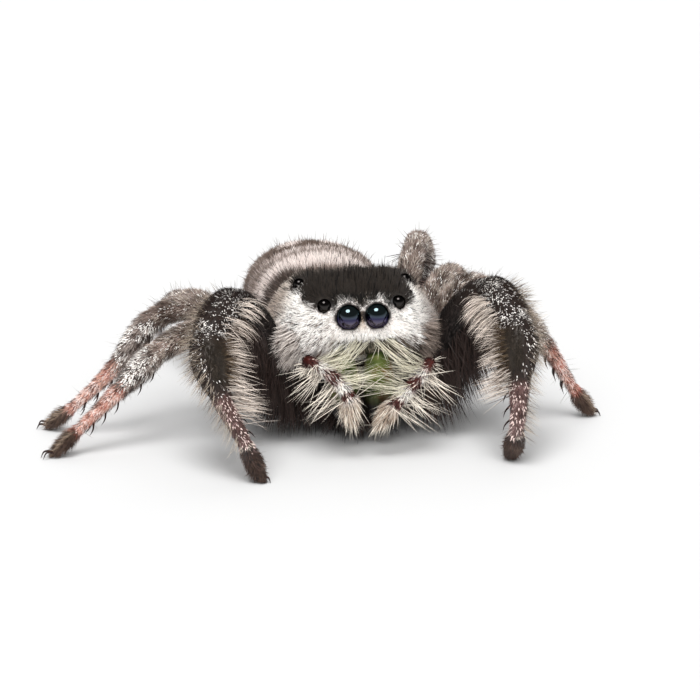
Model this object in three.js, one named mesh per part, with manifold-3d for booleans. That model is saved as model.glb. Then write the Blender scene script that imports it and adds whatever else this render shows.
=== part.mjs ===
// A life-size jumping spider, a heavy-bodied hunting spider of about 13 mm, crouching with its front legs
// bent before it. The body is parted with thin cuts where its joints are: head and thorax, sternum with the
// leg bases, waist, abdomen, spinnerets, eight eyes, jaws, fangs, mouthparts, two palps, and five segments to
// each of the eight legs. Every piece is as thick as in life, with its coat of short hair and scales.
// Millimetres. +X is the spider's left, -Y is ahead of its face and +Z is up from the floor it stands on.
import * as THREE from "three";
import { mergeVertices } from "three/addons/utils/BufferGeometryUtils.js";
import Module from "manifold-3d";

const wasm = await Module();
wasm.setup();

const GAP = 0.04; // clearance between neighbouring pieces
const COLOURS = {
  coat: 0x8d8580,
  dark: 0x2b2421,
  foot: 0x3b2c26,
  pink: 0xb98f80,
  jaw: 0x3f8a5a,
  eye: 0x0b0d16,
  horn: 0x2a1712,
};

// ---- Body dimensions ----
const EYES = {
  // half the distance between the pair, how far ahead, how high, and the radius of the lens
  front_middle: { x: 0.43, y: -2.83, z: 4.13, r: 0.37, facets: 12 },
  front_side: { x: 1.13, y: -2.6, z: 4.45, r: 0.21, facets: 8 },
  rear_middle: { x: 1.6, y: -1.84, z: 4.5, r: 0.1, facets: 6 },
  rear_side: { x: 1.62, y: -0.98, z: 4.67, r: 0.19, facets: 8 },
};

// The head and thorax from the face to the waist: half-width, top and bottom at each station along the back.
const CARAPACE = [
  { y: -2.92, width: 0.8, top: 4.3, bottom: 3.25 },
  { y: -2.8, width: 1.42, top: 4.52, bottom: 3.0 },
  { y: -2.4, width: 1.98, top: 4.72, bottom: 2.7 },
  { y: -1.6, width: 2.4, top: 4.88, bottom: 2.34 },
  { y: -0.7, width: 2.62, top: 4.92, bottom: 2.12 },
  { y: 0.3, width: 2.56, top: 4.64, bottom: 2.0 },
  { y: 1.2, width: 2.22, top: 4.0, bottom: 1.92 },
  { y: 2.0, width: 1.58, top: 3.3, bottom: 1.9 },
  { y: 2.5, width: 0.95, top: 2.75, bottom: 2.0 },
  { y: 2.7, width: 0.45, top: 2.5, bottom: 2.15 },
];
// Half of its section, in shares of the half-width and of the height: flat over the eyes, sloping shoulders
// and full cheeks.
const CARAPACE_SECTION = [
  [0.3, 1], [0.57, 0.98], [0.7, 0.91], [0.82, 0.78], [0.94, 0.56],
  [1, 0.33], [0.98, 0.14], [0.84, 0.02], [0.45, 0],
];
const CARAPACE_STEPS = 12;

const ABDOMEN = {
  middle: [0.1, 6.5, 2.2],
  halfWidth: 2.2,
  halfLength: 3.7,
  top: 1.52,
  bottom: 1.68,
  taper: 0.2,
  turn: 2,
  tilt: 4,
};
const WAIST = { from: [0, 2.3, 2.22], to: [0.06, 3.3, 2.22], radius: 0.4 };
const STERNUM = { middle: [0, 0.1, 1.5], halfWidth: 0.85, halfLength: 1.7, halfHeight: 0.48 };
// The coxae run from the sternum to the hips. Their inner ends stand out by a share of the sternum's
// half-width and are crowded together along it. Their girth is a share of the femur's at the hip, and the
// taper is the inner end's share of that.
const COXA = { reach: 0.5, crowding: 0.75, girth: 0.92, taper: 0.9 };
const JAW = { middle: [0.55, -2.5, 1.92], halfWidth: 0.5, halfDepth: 0.52, halfHeight: 1.14, lean: 6 };
const ROUND_FACETS = { around: 14, along: 8 }; // of the small rounded pieces
const BODY_FACETS = { around: 20, along: 14 }; // of the abdomen
const FANG = { from: [0.6, -2.72, 0.78], to: [0.22, -2.3, 0.66], thick: 0.2, tip: 0.12 };
const MOUTHPARTS = { middle: [0, -1.72, 1.3], halfWidth: 0.74, halfDepth: 0.42, halfHeight: 0.44 };
const SPINNERET = {
  from: [0.35, 9.75, 1.75],
  length: 0.95,
  droop: 0.19,
  radius: 0.3,
  tip: 0.21,
  spread: 0.24,
  fingers: [[-1, -0.7], [1, -0.7], [-0.8, 0.7], [0.8, 0.7]], // sideways and up, in shares of the spread
};

// ---- Limb dimensions ----
const SEGMENTS = ["femur", "patella", "tibia", "metatarsus", "tarsus"];
const LEG_PAIRS = {
  // hip of the left leg, lengths of the five segments, and how stout the upper and lower leg are
  1: { hip: [1.95, -1.25, 1.6], lengths: [3.4, 1.7, 1.85, 1.6, 1.1], upper: 1.32, lower: 1.18 },
  2: { hip: [2.1, -0.3, 1.6], lengths: [3.0, 1.4, 1.55, 1.75, 1.05], upper: 0.88, lower: 0.94 },
  3: { hip: [2.05, 0.6, 1.6], lengths: [3.1, 1.4, 1.8, 1.9, 1.0], upper: 0.86, lower: 0.92 },
  4: { hip: [1.75, 1.55, 1.7], lengths: [3.6, 1.65, 2.3, 2.2, 1.1], upper: 0.86, lower: 0.92 },
};
// How each segment turns from straight out sideways, positive to the rear, and lifts from level, in degrees.
const LEG_POSES = {
  r1: { turn: [-22, -55, -94, -131, -159], lift: [55, -16, -44, -55, -65] },
  r2: { turn: [-10, -15, -18, -18, -16], lift: [33, -15, -37, -37, -37] },
  r3: { turn: [4, -16, -15, 5, 29], lift: [38, -5, -47, -44, -41] },
  r4: { turn: [58, 74, 82, 88, 92], lift: [13, -8, -22, -26, -6] },
  l1: { turn: [-18, -72, -94, -108, 95], lift: [51, -17, -48, -70, -62] },
  l2: { turn: [-3, -15, -14, -3, 7], lift: [58, -29, -46, -59, -57] },
  l3: { turn: [50, 48, 47, 47, 46], lift: [42, -28, -34, -36, -46] },
  l4: { turn: [64, 72, 78, 82, 84], lift: [46, -18, -33, -40, -51] },
};
// Half-thickness of an average leg at its hip, joints and the middle of each segment, out to the tip.
const LEG_GIRTHS = [0.4, 0.52, 0.5, 0.5, 0.47, 0.52, 0.38, 0.3, 0.27, 0.3, 0.26];
const UPPER_STATIONS = 6; // how many of those belong to the upper leg
const LEG_FLATNESS = 0.95; // a leg's width as a share of its height
const LEG_SIDES = 8;
const ROD_SIDES = 8;
const RINGS_PER_SEGMENT = 4;
const FOOT_HEIGHT = 0.2; // the centre of the foot's round end above the floor
const FLOOR = { span: 40, depth: 2 }; // a block under the feet, to cut them flat

const PALPS = {
  // base, knee, end of the patella, end of the tibia and tip
  palp_r: [
    [-0.95, -2.3, 1.7], [-1.75, -3.4, 3.02], [-1.1, -3.7, 2.6], [-0.66, -3.78, 2.1], [-0.5, -3.68, 1.2],
  ],
  palp_l: [
    [1.0, -2.3, 1.6], [1.95, -3.4, 2.74], [1.42, -3.7, 2.26], [0.93, -3.78, 1.78], [0.4, -3.68, 1.08],
  ],
};
const PALP_GIRTHS = [0.25, 0.28, 0.23, 0.25, 0.28, 0.29, 0.28, 0.32, 0.27];
const PALP_RINGS = 8;
const ROUND_END_ANGLES = [35, 65]; // of the last two rings on a limb's domed tip, in degrees up the dome

// ---- Geometry helpers ----
const vector = (p) => new THREE.Vector3(...p);
const radians = THREE.MathUtils.degToRad;
const mirrored = (p) => [-p[0], p[1], p[2]];

// A closed body through rings of points, each ring fanned to its centre at the two ends.
function loft(rings) {
  const sides = rings[0].length;
  const centre = (ring) => ring.reduce((sum, p) => sum.add(p), new THREE.Vector3()).divideScalar(sides);
  const points = [centre(rings[0]), ...rings.flat(), centre(rings.at(-1))];
  const last = points.length - 1;
  const at = (ring, side) => 1 + ring * sides + (side % sides);
  const faces = [];
  for (let side = 0; side < sides; side++) {
    faces.push(0, at(0, side), at(0, side + 1));
    for (let ring = 1; ring < rings.length; ring++) {
      const [a, b] = [at(ring - 1, side), at(ring - 1, side + 1)];
      const [c, d] = [at(ring, side), at(ring, side + 1)];
      faces.push(a, c, d, a, d, b);
    }
    faces.push(last, at(rings.length - 1, side + 1), at(rings.length - 1, side));
  }
  return new THREE.BufferGeometry().setFromPoints(points).setIndex(faces);
}

// A sphere whose unit points are moved by a function; its poles are on the Y axis.
function shapedSphere({ around, along }, move) {
  const sphere = new THREE.SphereGeometry(1, around, along);
  const spots = sphere.getAttribute("position");
  for (let i = 0; i < spots.count; i++) {
    const p = move(new THREE.Vector3().fromBufferAttribute(spots, i));
    spots.setXYZ(i, p.x, p.y, p.z);
  }
  return sphere;
}

function ellipsoid([x, y, z], [rx, ry, rz], { around, along } = ROUND_FACETS) {
  return new THREE.SphereGeometry(1, around, along).rotateX(Math.PI / 2).scale(rx, ry, rz).translate(x, y, z);
}

// A straight tapered rod with flat ends.
function rod(from, to, startRadius, endRadius) {
  const [a, b] = [vector(from), vector(to)];
  const along = b.clone().sub(a);
  const upright = new THREE.Vector3(0, 1, 0);
  const turn = new THREE.Quaternion().setFromUnitVectors(upright, along.clone().normalize());
  const middle = a.add(b).divideScalar(2);
  return new THREE.CylinderGeometry(endRadius, startRadius, along.length(), ROD_SIDES)
    .applyQuaternion(turn)
    .translate(middle.x, middle.y, middle.z);
}

// The value at a share t of the way through a row of evenly spaced numbers, eased between them.
function eased(values, t) {
  const place = THREE.MathUtils.clamp(t, 0, 1) * (values.length - 1);
  const i = Math.min(Math.floor(place), values.length - 2);
  const share = THREE.MathUtils.smoothstep(place - i, 0, 1);
  return THREE.MathUtils.lerp(values[i], values[i + 1], share);
}

// The direction square to the plane that a limb bends in, through its base, its knee and its tip.
function bendNormal(joints) {
  const [base, knee, tip] = [joints[0], joints[1], joints.at(-1)];
  return new THREE.Vector3().crossVectors(knee.clone().sub(base), tip.clone().sub(base)).normalize();
}

// A limb's stretch from share t0 to t1 of its path, with an elliptical section and flat or rounded ends.
function limbStretch(path, girths, t0, t1, { rings, sides, flatness, normal, roundEnd }) {
  const made = [];
  const addRing = (t, reach, shrink) => {
    const tangent = path.getTangent(t);
    const side = normal.clone().addScaledVector(tangent, -normal.dot(tangent)).normalize();
    const up = new THREE.Vector3().crossVectors(side, tangent);
    const centre = path.getPoint(t).addScaledVector(tangent, reach);
    const radius = eased(girths, t) * shrink;
    const ring = [];
    for (let k = 0; k < sides; k++) {
      const angle = (2 * Math.PI * k) / sides;
      const p = centre.clone().addScaledVector(side, Math.cos(angle) * radius * flatness);
      ring.push(p.addScaledVector(up, Math.sin(angle) * radius));
    }
    made.push(ring);
  };
  const step = (t1 - t0) / rings;
  const trim = GAP / 2 / path.getLength();
  for (let i = 0; i <= rings; i++) {
    const t = THREE.MathUtils.clamp(t0 + i * step, t0 + trim, roundEnd ? t1 : t1 - trim);
    addRing(t, 0, 1);
  }
  if (roundEnd) {
    const tip = eased(girths, 1);
    for (const angle of ROUND_END_ANGLES) {
      addRing(1, tip * Math.sin(radians(angle)), Math.cos(radians(angle)));
    }
  }
  return loft(made);
}

// ---- Joining and cutting ----
function solidOf(geometry) {
  const bare = geometry.clone();
  bare.deleteAttribute("normal");
  bare.deleteAttribute("uv");
  const merged = mergeVertices(bare, 1e-4);
  return new wasm.Manifold(
    new wasm.Mesh({
      numProp: 3,
      vertProperties: merged.getAttribute("position").array,
      triVerts: new Uint32Array(merged.index.array),
    }),
  );
}

function geometryOf(solid) {
  const mesh = solid.getMesh();
  const points = new THREE.BufferAttribute(new Float32Array(mesh.vertProperties), 3);
  const faces = new THREE.BufferAttribute(new Uint32Array(mesh.triVerts), 1);
  const geometry = new THREE.BufferGeometry().setAttribute("position", points).setIndex(faces);
  geometry.computeVertexNormals();
  return geometry;
}

// The same shape grown by the gap on every side, to cut a neighbour with.
function spaced(geometry) {
  geometry.computeBoundingBox();
  const size = geometry.boundingBox.getSize(new THREE.Vector3());
  const middle = geometry.boundingBox.getCenter(new THREE.Vector3());
  const grow = (length) => (length + 2 * GAP) / length;
  return geometry
    .clone()
    .translate(-middle.x, -middle.y, -middle.z)
    .scale(grow(size.x), grow(size.y), grow(size.z))
    .translate(middle.x, middle.y, middle.z);
}

function cut(geometry, ...neighbours) {
  const cutters = neighbours.map((neighbour) => solidOf(spaced(neighbour)));
  return geometryOf(cutters.reduce((left, cutter) => left.subtract(cutter), solidOf(geometry)));
}

function joined(...pieces) {
  return geometryOf(pieces.map(solidOf).reduce((all, piece) => all.add(piece)));
}

const spider = new THREE.Group();
spider.name = "spider";

function addNode(name, geometry, colour, roughness = 0.85, metalness = 0) {
  const material = new THREE.MeshStandardMaterial({ color: colour, roughness, metalness });
  const mesh = new THREE.Mesh(geometry, material);
  mesh.name = name;
  spider.add(mesh);
  return geometry;
}

// ---- Eyes ----
// Lenses of glassy cuticle, each sunk in the head by more than half.
function makeEyes() {
  const lenses = [];
  for (const [row, { x, y, z, r, facets }] of Object.entries(EYES)) {
    for (const [side, sign] of [["r", -1], ["l", 1]]) {
      const lens = ellipsoid([sign * x, y, z], [r, r, r], { around: facets, along: facets * 0.75 });
      lenses.push(addNode(`eye_${row}_${side}`, lens, COLOURS.eye, 0.05));
    }
  }
  return lenses;
}

// ---- Head and thorax ----
function carapaceAt(share) {
  const at = (key) => eased(CARAPACE.map((station) => station[key]), share);
  const [width, top, bottom] = [at("width"), at("top"), at("bottom")];
  const along = share * (CARAPACE.length - 1);
  const i = Math.min(Math.floor(along), CARAPACE.length - 2);
  const y = THREE.MathUtils.lerp(CARAPACE[i].y, CARAPACE[i + 1].y, along - i);
  const half = CARAPACE_SECTION.map(([x, z]) => [width * x, THREE.MathUtils.lerp(bottom, top, z)]);
  const outline = [...half, ...half.map(([x, z]) => [-x, z]).reverse()];
  return outline.map(([x, z]) => new THREE.Vector3(x, y, z)).reverse();
}

function makeCarapace(lenses) {
  const whole = loft(Array.from({ length: CARAPACE_STEPS + 1 }, (_, i) => carapaceAt(i / CARAPACE_STEPS)));
  addNode("cephalothorax", cut(whole, ...lenses), COLOURS.coat);
  return whole;
}

// ---- Underside: sternum with the eight coxae, which the legs and mouth are cut clear of one by one ----
function makeSternum(carapace) {
  const { middle, halfWidth, halfLength, halfHeight } = STERNUM;
  const pieces = [ellipsoid(middle, [halfWidth, halfLength, halfHeight])];
  for (const { hip, upper } of Object.values(LEG_PAIRS)) {
    const root = [halfWidth * COXA.reach, THREE.MathUtils.lerp(middle[1], hip[1], COXA.crowding), middle[2]];
    const stoutness = (1 + upper) / 2;
    const girth = LEG_GIRTHS[0] * stoutness * COXA.girth;
    for (const place of [(p) => p, mirrored]) {
      const end = vector(place(hip));
      const start = vector(place(root));
      const back = start.clone().sub(end).setLength(GAP / 2);
      pieces.push(rod(start.toArray(), end.add(back).toArray(), girth * COXA.taper, girth));
    }
  }
  addNode("sternum", cut(joined(...pieces), carapace), COLOURS.dark);
  return pieces;
}

// ---- Abdomen, waist and spinnerets ----
function makeAbdomen() {
  const { middle, halfWidth, halfLength, top, bottom, taper, turn, tilt } = ABDOMEN;
  const body = shapedSphere(BODY_FACETS, (p) => {
    const narrowing = 1 - taper * Math.max(p.y, 0) ** 2;
    const height = p.z > 0 ? top : bottom;
    return new THREE.Vector3(p.x * halfWidth * narrowing, p.y * halfLength, p.z * height * narrowing);
  });
  body.rotateX(radians(-tilt)).rotateZ(radians(-turn)).translate(...middle);
  return addNode("abdomen", body, COLOURS.coat);
}

function makeSpinnerets(abdomen) {
  const { from, length, droop, radius, tip, spread, fingers } = SPINNERET;
  const [x, y, z] = from;
  const rods = fingers.map(([sideways, up]) => {
    const start = [x + (sideways * spread) / 2, y, z + (up * spread) / 2];
    const end = [x + sideways * spread, y + length, z + up * spread - droop];
    return rod(start, end, radius, tip);
  });
  addNode("spinnerets", cut(joined(...rods), abdomen), COLOURS.dark);
}

// ---- Mouth: jaws, fangs and the parts behind them ----
function makeMouth(carapace, sternum) {
  const jaws = [];
  const { middle, halfWidth, halfDepth, halfHeight, lean } = JAW;
  for (const [side, place] of [["r", mirrored], ["l", (p) => p]]) {
    const [x, y, z] = place(middle);
    const shape = ellipsoid([0, 0, 0], [halfWidth, halfDepth, halfHeight]);
    shape.rotateX(radians(-lean)).translate(x, y, z);
    jaws.push(addNode(`chelicera_${side}`, cut(shape, carapace, ...sternum), COLOURS.jaw, 0.3, 0.4));
    const fang = rod(place(FANG.from), place(FANG.to), FANG.thick, FANG.tip);
    addNode(`fang_${side}`, cut(fang, shape), COLOURS.horn, 0.3);
  }
  const size = [MOUTHPARTS.halfWidth, MOUTHPARTS.halfDepth, MOUTHPARTS.halfHeight];
  const lips = ellipsoid(MOUTHPARTS.middle, size);
  addNode("mouthparts", cut(lips, ...sternum, ...jaws), COLOURS.dark);
  return jaws;
}

function makePalps(carapace, jaws) {
  for (const [name, joints] of Object.entries(PALPS)) {
    const path = new THREE.CatmullRomCurve3(joints.map(vector), false, "centripetal");
    const normal = bendNormal(joints.map(vector));
    const shape = { rings: PALP_RINGS, sides: LEG_SIDES, flatness: 1, normal, roundEnd: true };
    addNode(name, cut(limbStretch(path, PALP_GIRTHS, 0, 1, shape), carapace, ...jaws), COLOURS.coat);
  }
}

// ---- Legs ----
// The six joints of a leg from hip to tip, let down or lifted evenly until the foot is on the floor.
function legJoints(name) {
  const sign = name[0] === "r" ? -1 : 1;
  const { hip, lengths } = LEG_PAIRS[name[1]];
  const { turn, lift } = LEG_POSES[name];
  const joints = [vector([sign * hip[0], hip[1], hip[2]])];
  lengths.forEach((length, i) => {
    const [yaw, pitch] = [radians(turn[i]), radians(lift[i])];
    const level = Math.cos(pitch) * length;
    const step = [sign * level * Math.cos(yaw), level * Math.sin(yaw), Math.sin(pitch) * length];
    joints.push(joints[i].clone().add(vector(step)));
  });
  const drop = FOOT_HEIGHT - joints.at(-1).z;
  joints.forEach((joint, i) => (joint.z += (drop * i) / SEGMENTS.length));
  return joints;
}

function makeLegs(carapace, sternum) {
  const floor = new THREE.BoxGeometry(FLOOR.span, FLOOR.span, FLOOR.depth).translate(0, 0, -FLOOR.depth / 2);
  for (const name of Object.keys(LEG_POSES)) {
    const { upper, lower } = LEG_PAIRS[name[1]];
    const joints = legJoints(name);
    const path = new THREE.CatmullRomCurve3(joints, false, "centripetal");
    const normal = bendNormal(joints);
    const girths = LEG_GIRTHS.map((girth, i) => girth * (i < UPPER_STATIONS ? upper : lower));
    SEGMENTS.forEach((segment, i) => {
      const shape = { rings: RINGS_PER_SEGMENT, sides: LEG_SIDES, flatness: LEG_FLATNESS, normal };
      shape.roundEnd = segment === "tarsus";
      let body = limbStretch(path, girths, i / SEGMENTS.length, (i + 1) / SEGMENTS.length, shape);
      if (segment === "femur") {
        body = cut(body, carapace, ...sternum);
      }
      if (segment === "tarsus") {
        body = geometryOf(solidOf(body).subtract(solidOf(floor)));
      }
      const colour = { tarsus: COLOURS.foot, metatarsus: COLOURS.pink }[segment] ?? COLOURS.dark;
      addNode(`leg_${name}_${segment}`, body, colour);
    });
  }
}

// ---- Assembly ----
const lenses = makeEyes();
const carapace = makeCarapace(lenses);
const sternum = makeSternum(carapace);
const abdomen = makeAbdomen();
const waist = rod(WAIST.from, WAIST.to, WAIST.radius, WAIST.radius);
addNode("waist", cut(waist, carapace, abdomen), COLOURS.dark);
makeSpinnerets(abdomen);
const jaws = makeMouth(carapace, sternum);
makePalps(carapace, jaws);
makeLegs(carapace, sternum);

// The origin is on the floor, under the middle of the whole spider's outline.
const outline = new THREE.Box3().setFromObject(spider);
const middle = outline.getCenter(new THREE.Vector3());
spider.position.set(-middle.x, -middle.y, -outline.min.z);
const model = new THREE.Group();
model.add(spider);

export default model;
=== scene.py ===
"""The looks of a life-size jumping spider: skin, a coat of hairs and scales, eyes, jaws and claws.

Shapes are worked out in millimetres in the animal's own frame, as the solids are: +X is its left, -Y is ahead
of its face, +Z is up and the floor is z = 0. Each piece is moved into the row frame, in metres, when it is
made. The skin lies inside the solids by the coat's depth, and the coat fills the space between.
"""

import math
from functools import partial

import bpy
import numpy as np
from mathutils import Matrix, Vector
from mathutils.kdtree import KDTree


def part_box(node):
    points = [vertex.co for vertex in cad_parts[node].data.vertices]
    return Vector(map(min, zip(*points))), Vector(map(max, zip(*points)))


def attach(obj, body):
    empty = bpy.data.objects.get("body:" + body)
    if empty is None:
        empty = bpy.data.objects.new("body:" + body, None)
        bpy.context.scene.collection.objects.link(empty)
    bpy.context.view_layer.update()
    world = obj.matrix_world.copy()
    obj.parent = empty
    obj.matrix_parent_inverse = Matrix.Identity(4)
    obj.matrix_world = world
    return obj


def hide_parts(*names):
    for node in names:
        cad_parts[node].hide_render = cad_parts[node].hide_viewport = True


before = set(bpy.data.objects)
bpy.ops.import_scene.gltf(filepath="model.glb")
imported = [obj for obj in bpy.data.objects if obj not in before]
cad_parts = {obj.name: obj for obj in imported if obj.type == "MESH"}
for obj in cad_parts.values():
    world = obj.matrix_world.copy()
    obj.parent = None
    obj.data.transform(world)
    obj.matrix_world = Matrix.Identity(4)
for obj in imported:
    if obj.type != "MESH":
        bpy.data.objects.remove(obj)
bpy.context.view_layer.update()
bpy.context.scene.view_settings.view_transform = "Standard"

MM = 0.001
SIDES = (("r", -1), ("l", 1))

# ---- Dimensions of the solids, in millimetres ----
EYES = {
    # half the distance between the pair, how far ahead, how high, and the radius of the lens
    "front_middle": (0.43, -2.83, 4.13, 0.37),
    "front_side": (1.13, -2.6, 4.45, 0.21),
    "rear_middle": (1.6, -1.84, 4.5, 0.1),
    "rear_side": (1.62, -0.98, 4.67, 0.19),
}
EYE_WAYS = {  # which way each left eye looks
    "front_middle": (0.12, -1, 0.0),
    "front_side": (0.42, -1, 0.12),
    "rear_middle": (0.8, -0.5, 0.45),
    "rear_side": (0.85, 0.15, 0.55),
}
CARAPACE = np.array([
    # station along the back, half-width, top, bottom
    (-2.92, 0.8, 4.3, 3.25),
    (-2.8, 1.42, 4.52, 3.0),
    (-2.4, 1.98, 4.72, 2.7),
    (-1.6, 2.4, 4.88, 2.34),
    (-0.7, 2.62, 4.92, 2.12),
    (0.3, 2.56, 4.64, 2.0),
    (1.2, 2.22, 4.0, 1.92),
    (2.0, 1.58, 3.3, 1.9),
    (2.5, 0.95, 2.75, 2.0),
    (2.7, 0.45, 2.5, 2.15),
])
CARAPACE_SECTION = np.array([
    (0.3, 1), (0.57, 0.98), (0.7, 0.91), (0.82, 0.78), (0.94, 0.56),
    (1, 0.33), (0.98, 0.14), (0.84, 0.02), (0.45, 0),
])
CARAPACE_RINGS = 110
FACE_RINGS = 12
FACE_DOME = 0.12
ABDOMEN = {
    "middle": (0.1, 6.5, 2.2), "half_width": 2.2, "half_length": 3.7,
    "top": 1.52, "bottom": 1.68, "taper": 0.2, "turn": 2, "tilt": 4,
}
WAIST = {"start": (0, 2.0, 2.22), "end": (0.06, 3.5, 2.22), "radius": 0.4}
STERNUM = {"middle": (0, 0.1, 1.5), "half": (0.85, 1.7, 0.48)}
COXA = {"reach": 0.5, "crowding": 0.75, "girth": 0.92, "taper": 0.9}
JAW = {"middle": (0.55, -2.5, 1.92), "half": (0.5, 0.52, 1.14), "lean": 6}
FANG = {"start": (0.6, -2.72, 0.98), "end": (0.22, -2.3, 0.6), "bow": (0.08, -0.02, -0.1), "thick": 0.19}
MOUTHPARTS = {"middle": (0, -1.72, 1.3), "half": (0.74, 0.42, 0.44)}
SPINNERET = {
    "start": (0.35, 9.6, 1.75), "length": 1.0, "droop": 0.19, "radius": 0.28, "taper": 0.55,
    "spread": 0.24, "fingers": ((-1, -0.7), (1, -0.7), (-0.8, 0.7), (0.8, 0.7)),
}
LEG_PAIRS = {
    # hip of the left leg, lengths of the five segments, and how stout the upper and lower leg are
    "1": ((1.95, -1.25, 1.6), (3.4, 1.7, 1.85, 1.6, 1.1), 1.32, 1.18),
    "2": ((2.1, -0.3, 1.6), (3.0, 1.4, 1.55, 1.75, 1.05), 0.88, 0.94),
    "3": ((2.05, 0.6, 1.6), (3.1, 1.4, 1.8, 1.9, 1.0), 0.86, 0.92),
    "4": ((1.75, 1.55, 1.7), (3.6, 1.65, 2.3, 2.2, 1.1), 0.86, 0.92),
}
LEG_POSES = {
    # how each segment turns from straight out sideways, and how it lifts from level, in degrees
    "r1": ((-22, -55, -94, -131, -159), (55, -16, -44, -55, -65)),
    "r2": ((-10, -15, -18, -18, -16), (33, -15, -37, -37, -37)),
    "r3": ((4, -16, -15, 5, 29), (38, -5, -47, -44, -41)),
    "r4": ((58, 74, 82, 88, 92), (13, -8, -22, -26, -6)),
    "l1": ((-18, -72, -94, -108, 95), (51, -17, -48, -70, -62)),
    "l2": ((-3, -15, -14, -3, 7), (58, -29, -46, -59, -57)),
    "l3": ((50, 48, 47, 47, 46), (42, -28, -34, -36, -46)),
    "l4": ((64, 72, 78, 82, 84), (46, -18, -33, -40, -51)),
}
LEG_GIRTHS = (0.4, 0.52, 0.5, 0.5, 0.47, 0.52, 0.38, 0.3, 0.27, 0.3, 0.26)
UPPER_STATIONS = 6
LEG_FLATNESS = 0.95
FOOT_HEIGHT = 0.2
PALPS = {
    # base, knee, end of the patella, end of the tibia and tip
    "palp_r": (
        (-0.95, -2.3, 1.7), (-1.75, -3.4, 3.02), (-1.1, -3.7, 2.6), (-0.66, -3.78, 2.1), (-0.5, -3.68, 1.2),
    ),
    "palp_l": (
        (1.0, -2.3, 1.6), (1.95, -3.4, 2.74), (1.42, -3.7, 2.26), (0.93, -3.78, 1.78), (0.4, -3.68, 1.08),
    ),
}
PALP_GIRTHS = (0.25, 0.28, 0.23, 0.25, 0.28, 0.29, 0.28, 0.32, 0.27)

# How deep the coat lies over the skin.
DEPTH = {"carapace": 0.1, "abdomen": 0.13, "leg": 0.08, "palp": 0.08, "other": 0.06}

# ---- Colours, as they are seen ----
WHITE = (1.0, 0.985, 0.965)
CREAM = (0.97, 0.93, 0.87)
VEIL = (0.96, 0.935, 0.84)
FRINGE = (0.91, 0.855, 0.805)
LILAC = (0.85, 0.79, 0.78)
GREY = (0.55, 0.51, 0.49)
TAN = (0.63, 0.55, 0.485)
BROWN = (0.30, 0.24, 0.20)
DARK = (0.19, 0.145, 0.13)
CAP = (0.18, 0.155, 0.135)
BLACK = (0.075, 0.06, 0.055)
PINK = (0.78, 0.61, 0.545)
ROSE = (0.64, 0.35, 0.29)
MAROON = (0.29, 0.11, 0.095)
OLIVE = (0.25, 0.21, 0.165)


# ---- Small helpers ----
def unit(v):
    return v / np.maximum(np.linalg.norm(v, axis=-1, keepdims=True), 1e-12)


def distance(a, b=0):
    return np.linalg.norm(a - b, axis=-1)


def dot(a, b):
    return np.sum(a * b, axis=-1)


def ramp(low, high, x):
    """0 below low, 1 above high and eased between; high may be the lower one."""
    t = np.clip((x - low) / (high - low), 0, 1)
    return t * t * (3 - 2 * t)


def hump(middle, half_width, x):
    """1 at the middle, easing to 0 at half_width to either side."""
    return ramp(1, 0, np.abs(x - middle) / half_width)


def blend(a, b, share):
    """a where share is 0 and b where it is 1; each may be one colour or a row of colours."""
    share = np.asarray(share)[..., None]
    return np.asarray(a) * (1 - share) + np.asarray(b) * share


def smooth(padded, place, last):
    """A smooth curve through the values at a place along them; padded has one more value at each end."""
    i = np.minimum(place.astype(int), last)
    s = (place - i).reshape((-1,) + (1,) * (padded.ndim - 1))
    a, b, c, d = (padded[i + k] for k in range(4))
    return b + 0.5 * s * (c - a + s * (2 * a - 5 * b + 4 * c - d + s * (3 * (b - c) + d - a)))


def smooth_through(values, share):
    """A smooth curve through evenly spaced values, at a share from 0 to 1 of the way along."""
    v = np.asarray(values, float)
    padded = np.concatenate([2 * v[:1] - v[1:2], v, 2 * v[-1:] - v[-2:-1]])
    return smooth(padded, np.clip(share, 0, 1) * (len(v) - 1), len(v) - 2)


def closed_outline(points, count):
    """A smooth closed curve through the points."""
    looped = np.vstack([points[-1:], points, points[:2]])
    return smooth(looped, np.linspace(0, len(points), count, endpoint=False), len(points))


def noise(points, size, seed=0):
    """Smooth random values from 0 to 1 whose blotches are about size across."""
    place = points / size + seed * 17.3
    cell = np.floor(place).astype(np.int64)
    part = place - cell
    part = part * part * (3 - 2 * part)
    total = np.zeros(len(points))
    for corner in range(8):
        step = np.array([corner & 1, corner >> 1 & 1, corner >> 2 & 1])
        x, y, z = (cell + step).T
        code = (x * 73856093) ^ (y * 19349663) ^ (z * 83492791) ^ (seed * 2654435)
        code = (code ^ (code >> 13)) * 1274126177 & 0xFFFFFF
        weight = np.prod(np.where(step, part, 1 - part), axis=1)
        total += weight * (code / 0xFFFFFF)
    return total


def mottle(points, size, seed=0):
    """Two sizes of blotches together, from 0 to 1."""
    return 0.65 * noise(points, size, seed) + 0.35 * noise(points, size / 2.3, seed + 7)


def rotation(axis, degrees):
    c, s = math.cos(math.radians(degrees)), math.sin(math.radians(degrees))
    turns = {"x": [(1, 0, 0), (0, c, -s), (0, s, c)], "z": [(c, -s, 0), (s, c, 0), (0, 0, 1)]}
    return np.array(turns[axis])


def linear(colours):
    """From a colour as it is seen to the renderer's own scale."""
    c = np.asarray(colours, float)
    return np.where(c <= 0.04045, c / 12.92, ((np.clip(c, 0, 1) + 0.055) / 1.055) ** 2.4)


def full_turn(sides):
    return np.linspace(-np.pi, np.pi, sides, endpoint=False)


def spokes(angle, up, side, flatness=1):
    """From each ring's centre to its points: up at angle 0, towards side at a quarter turn."""
    return (
        np.cos(angle)[None, :, None] * up[:, None]
        + np.sin(angle)[None, :, None] * side[:, None] * flatness
    )


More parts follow.
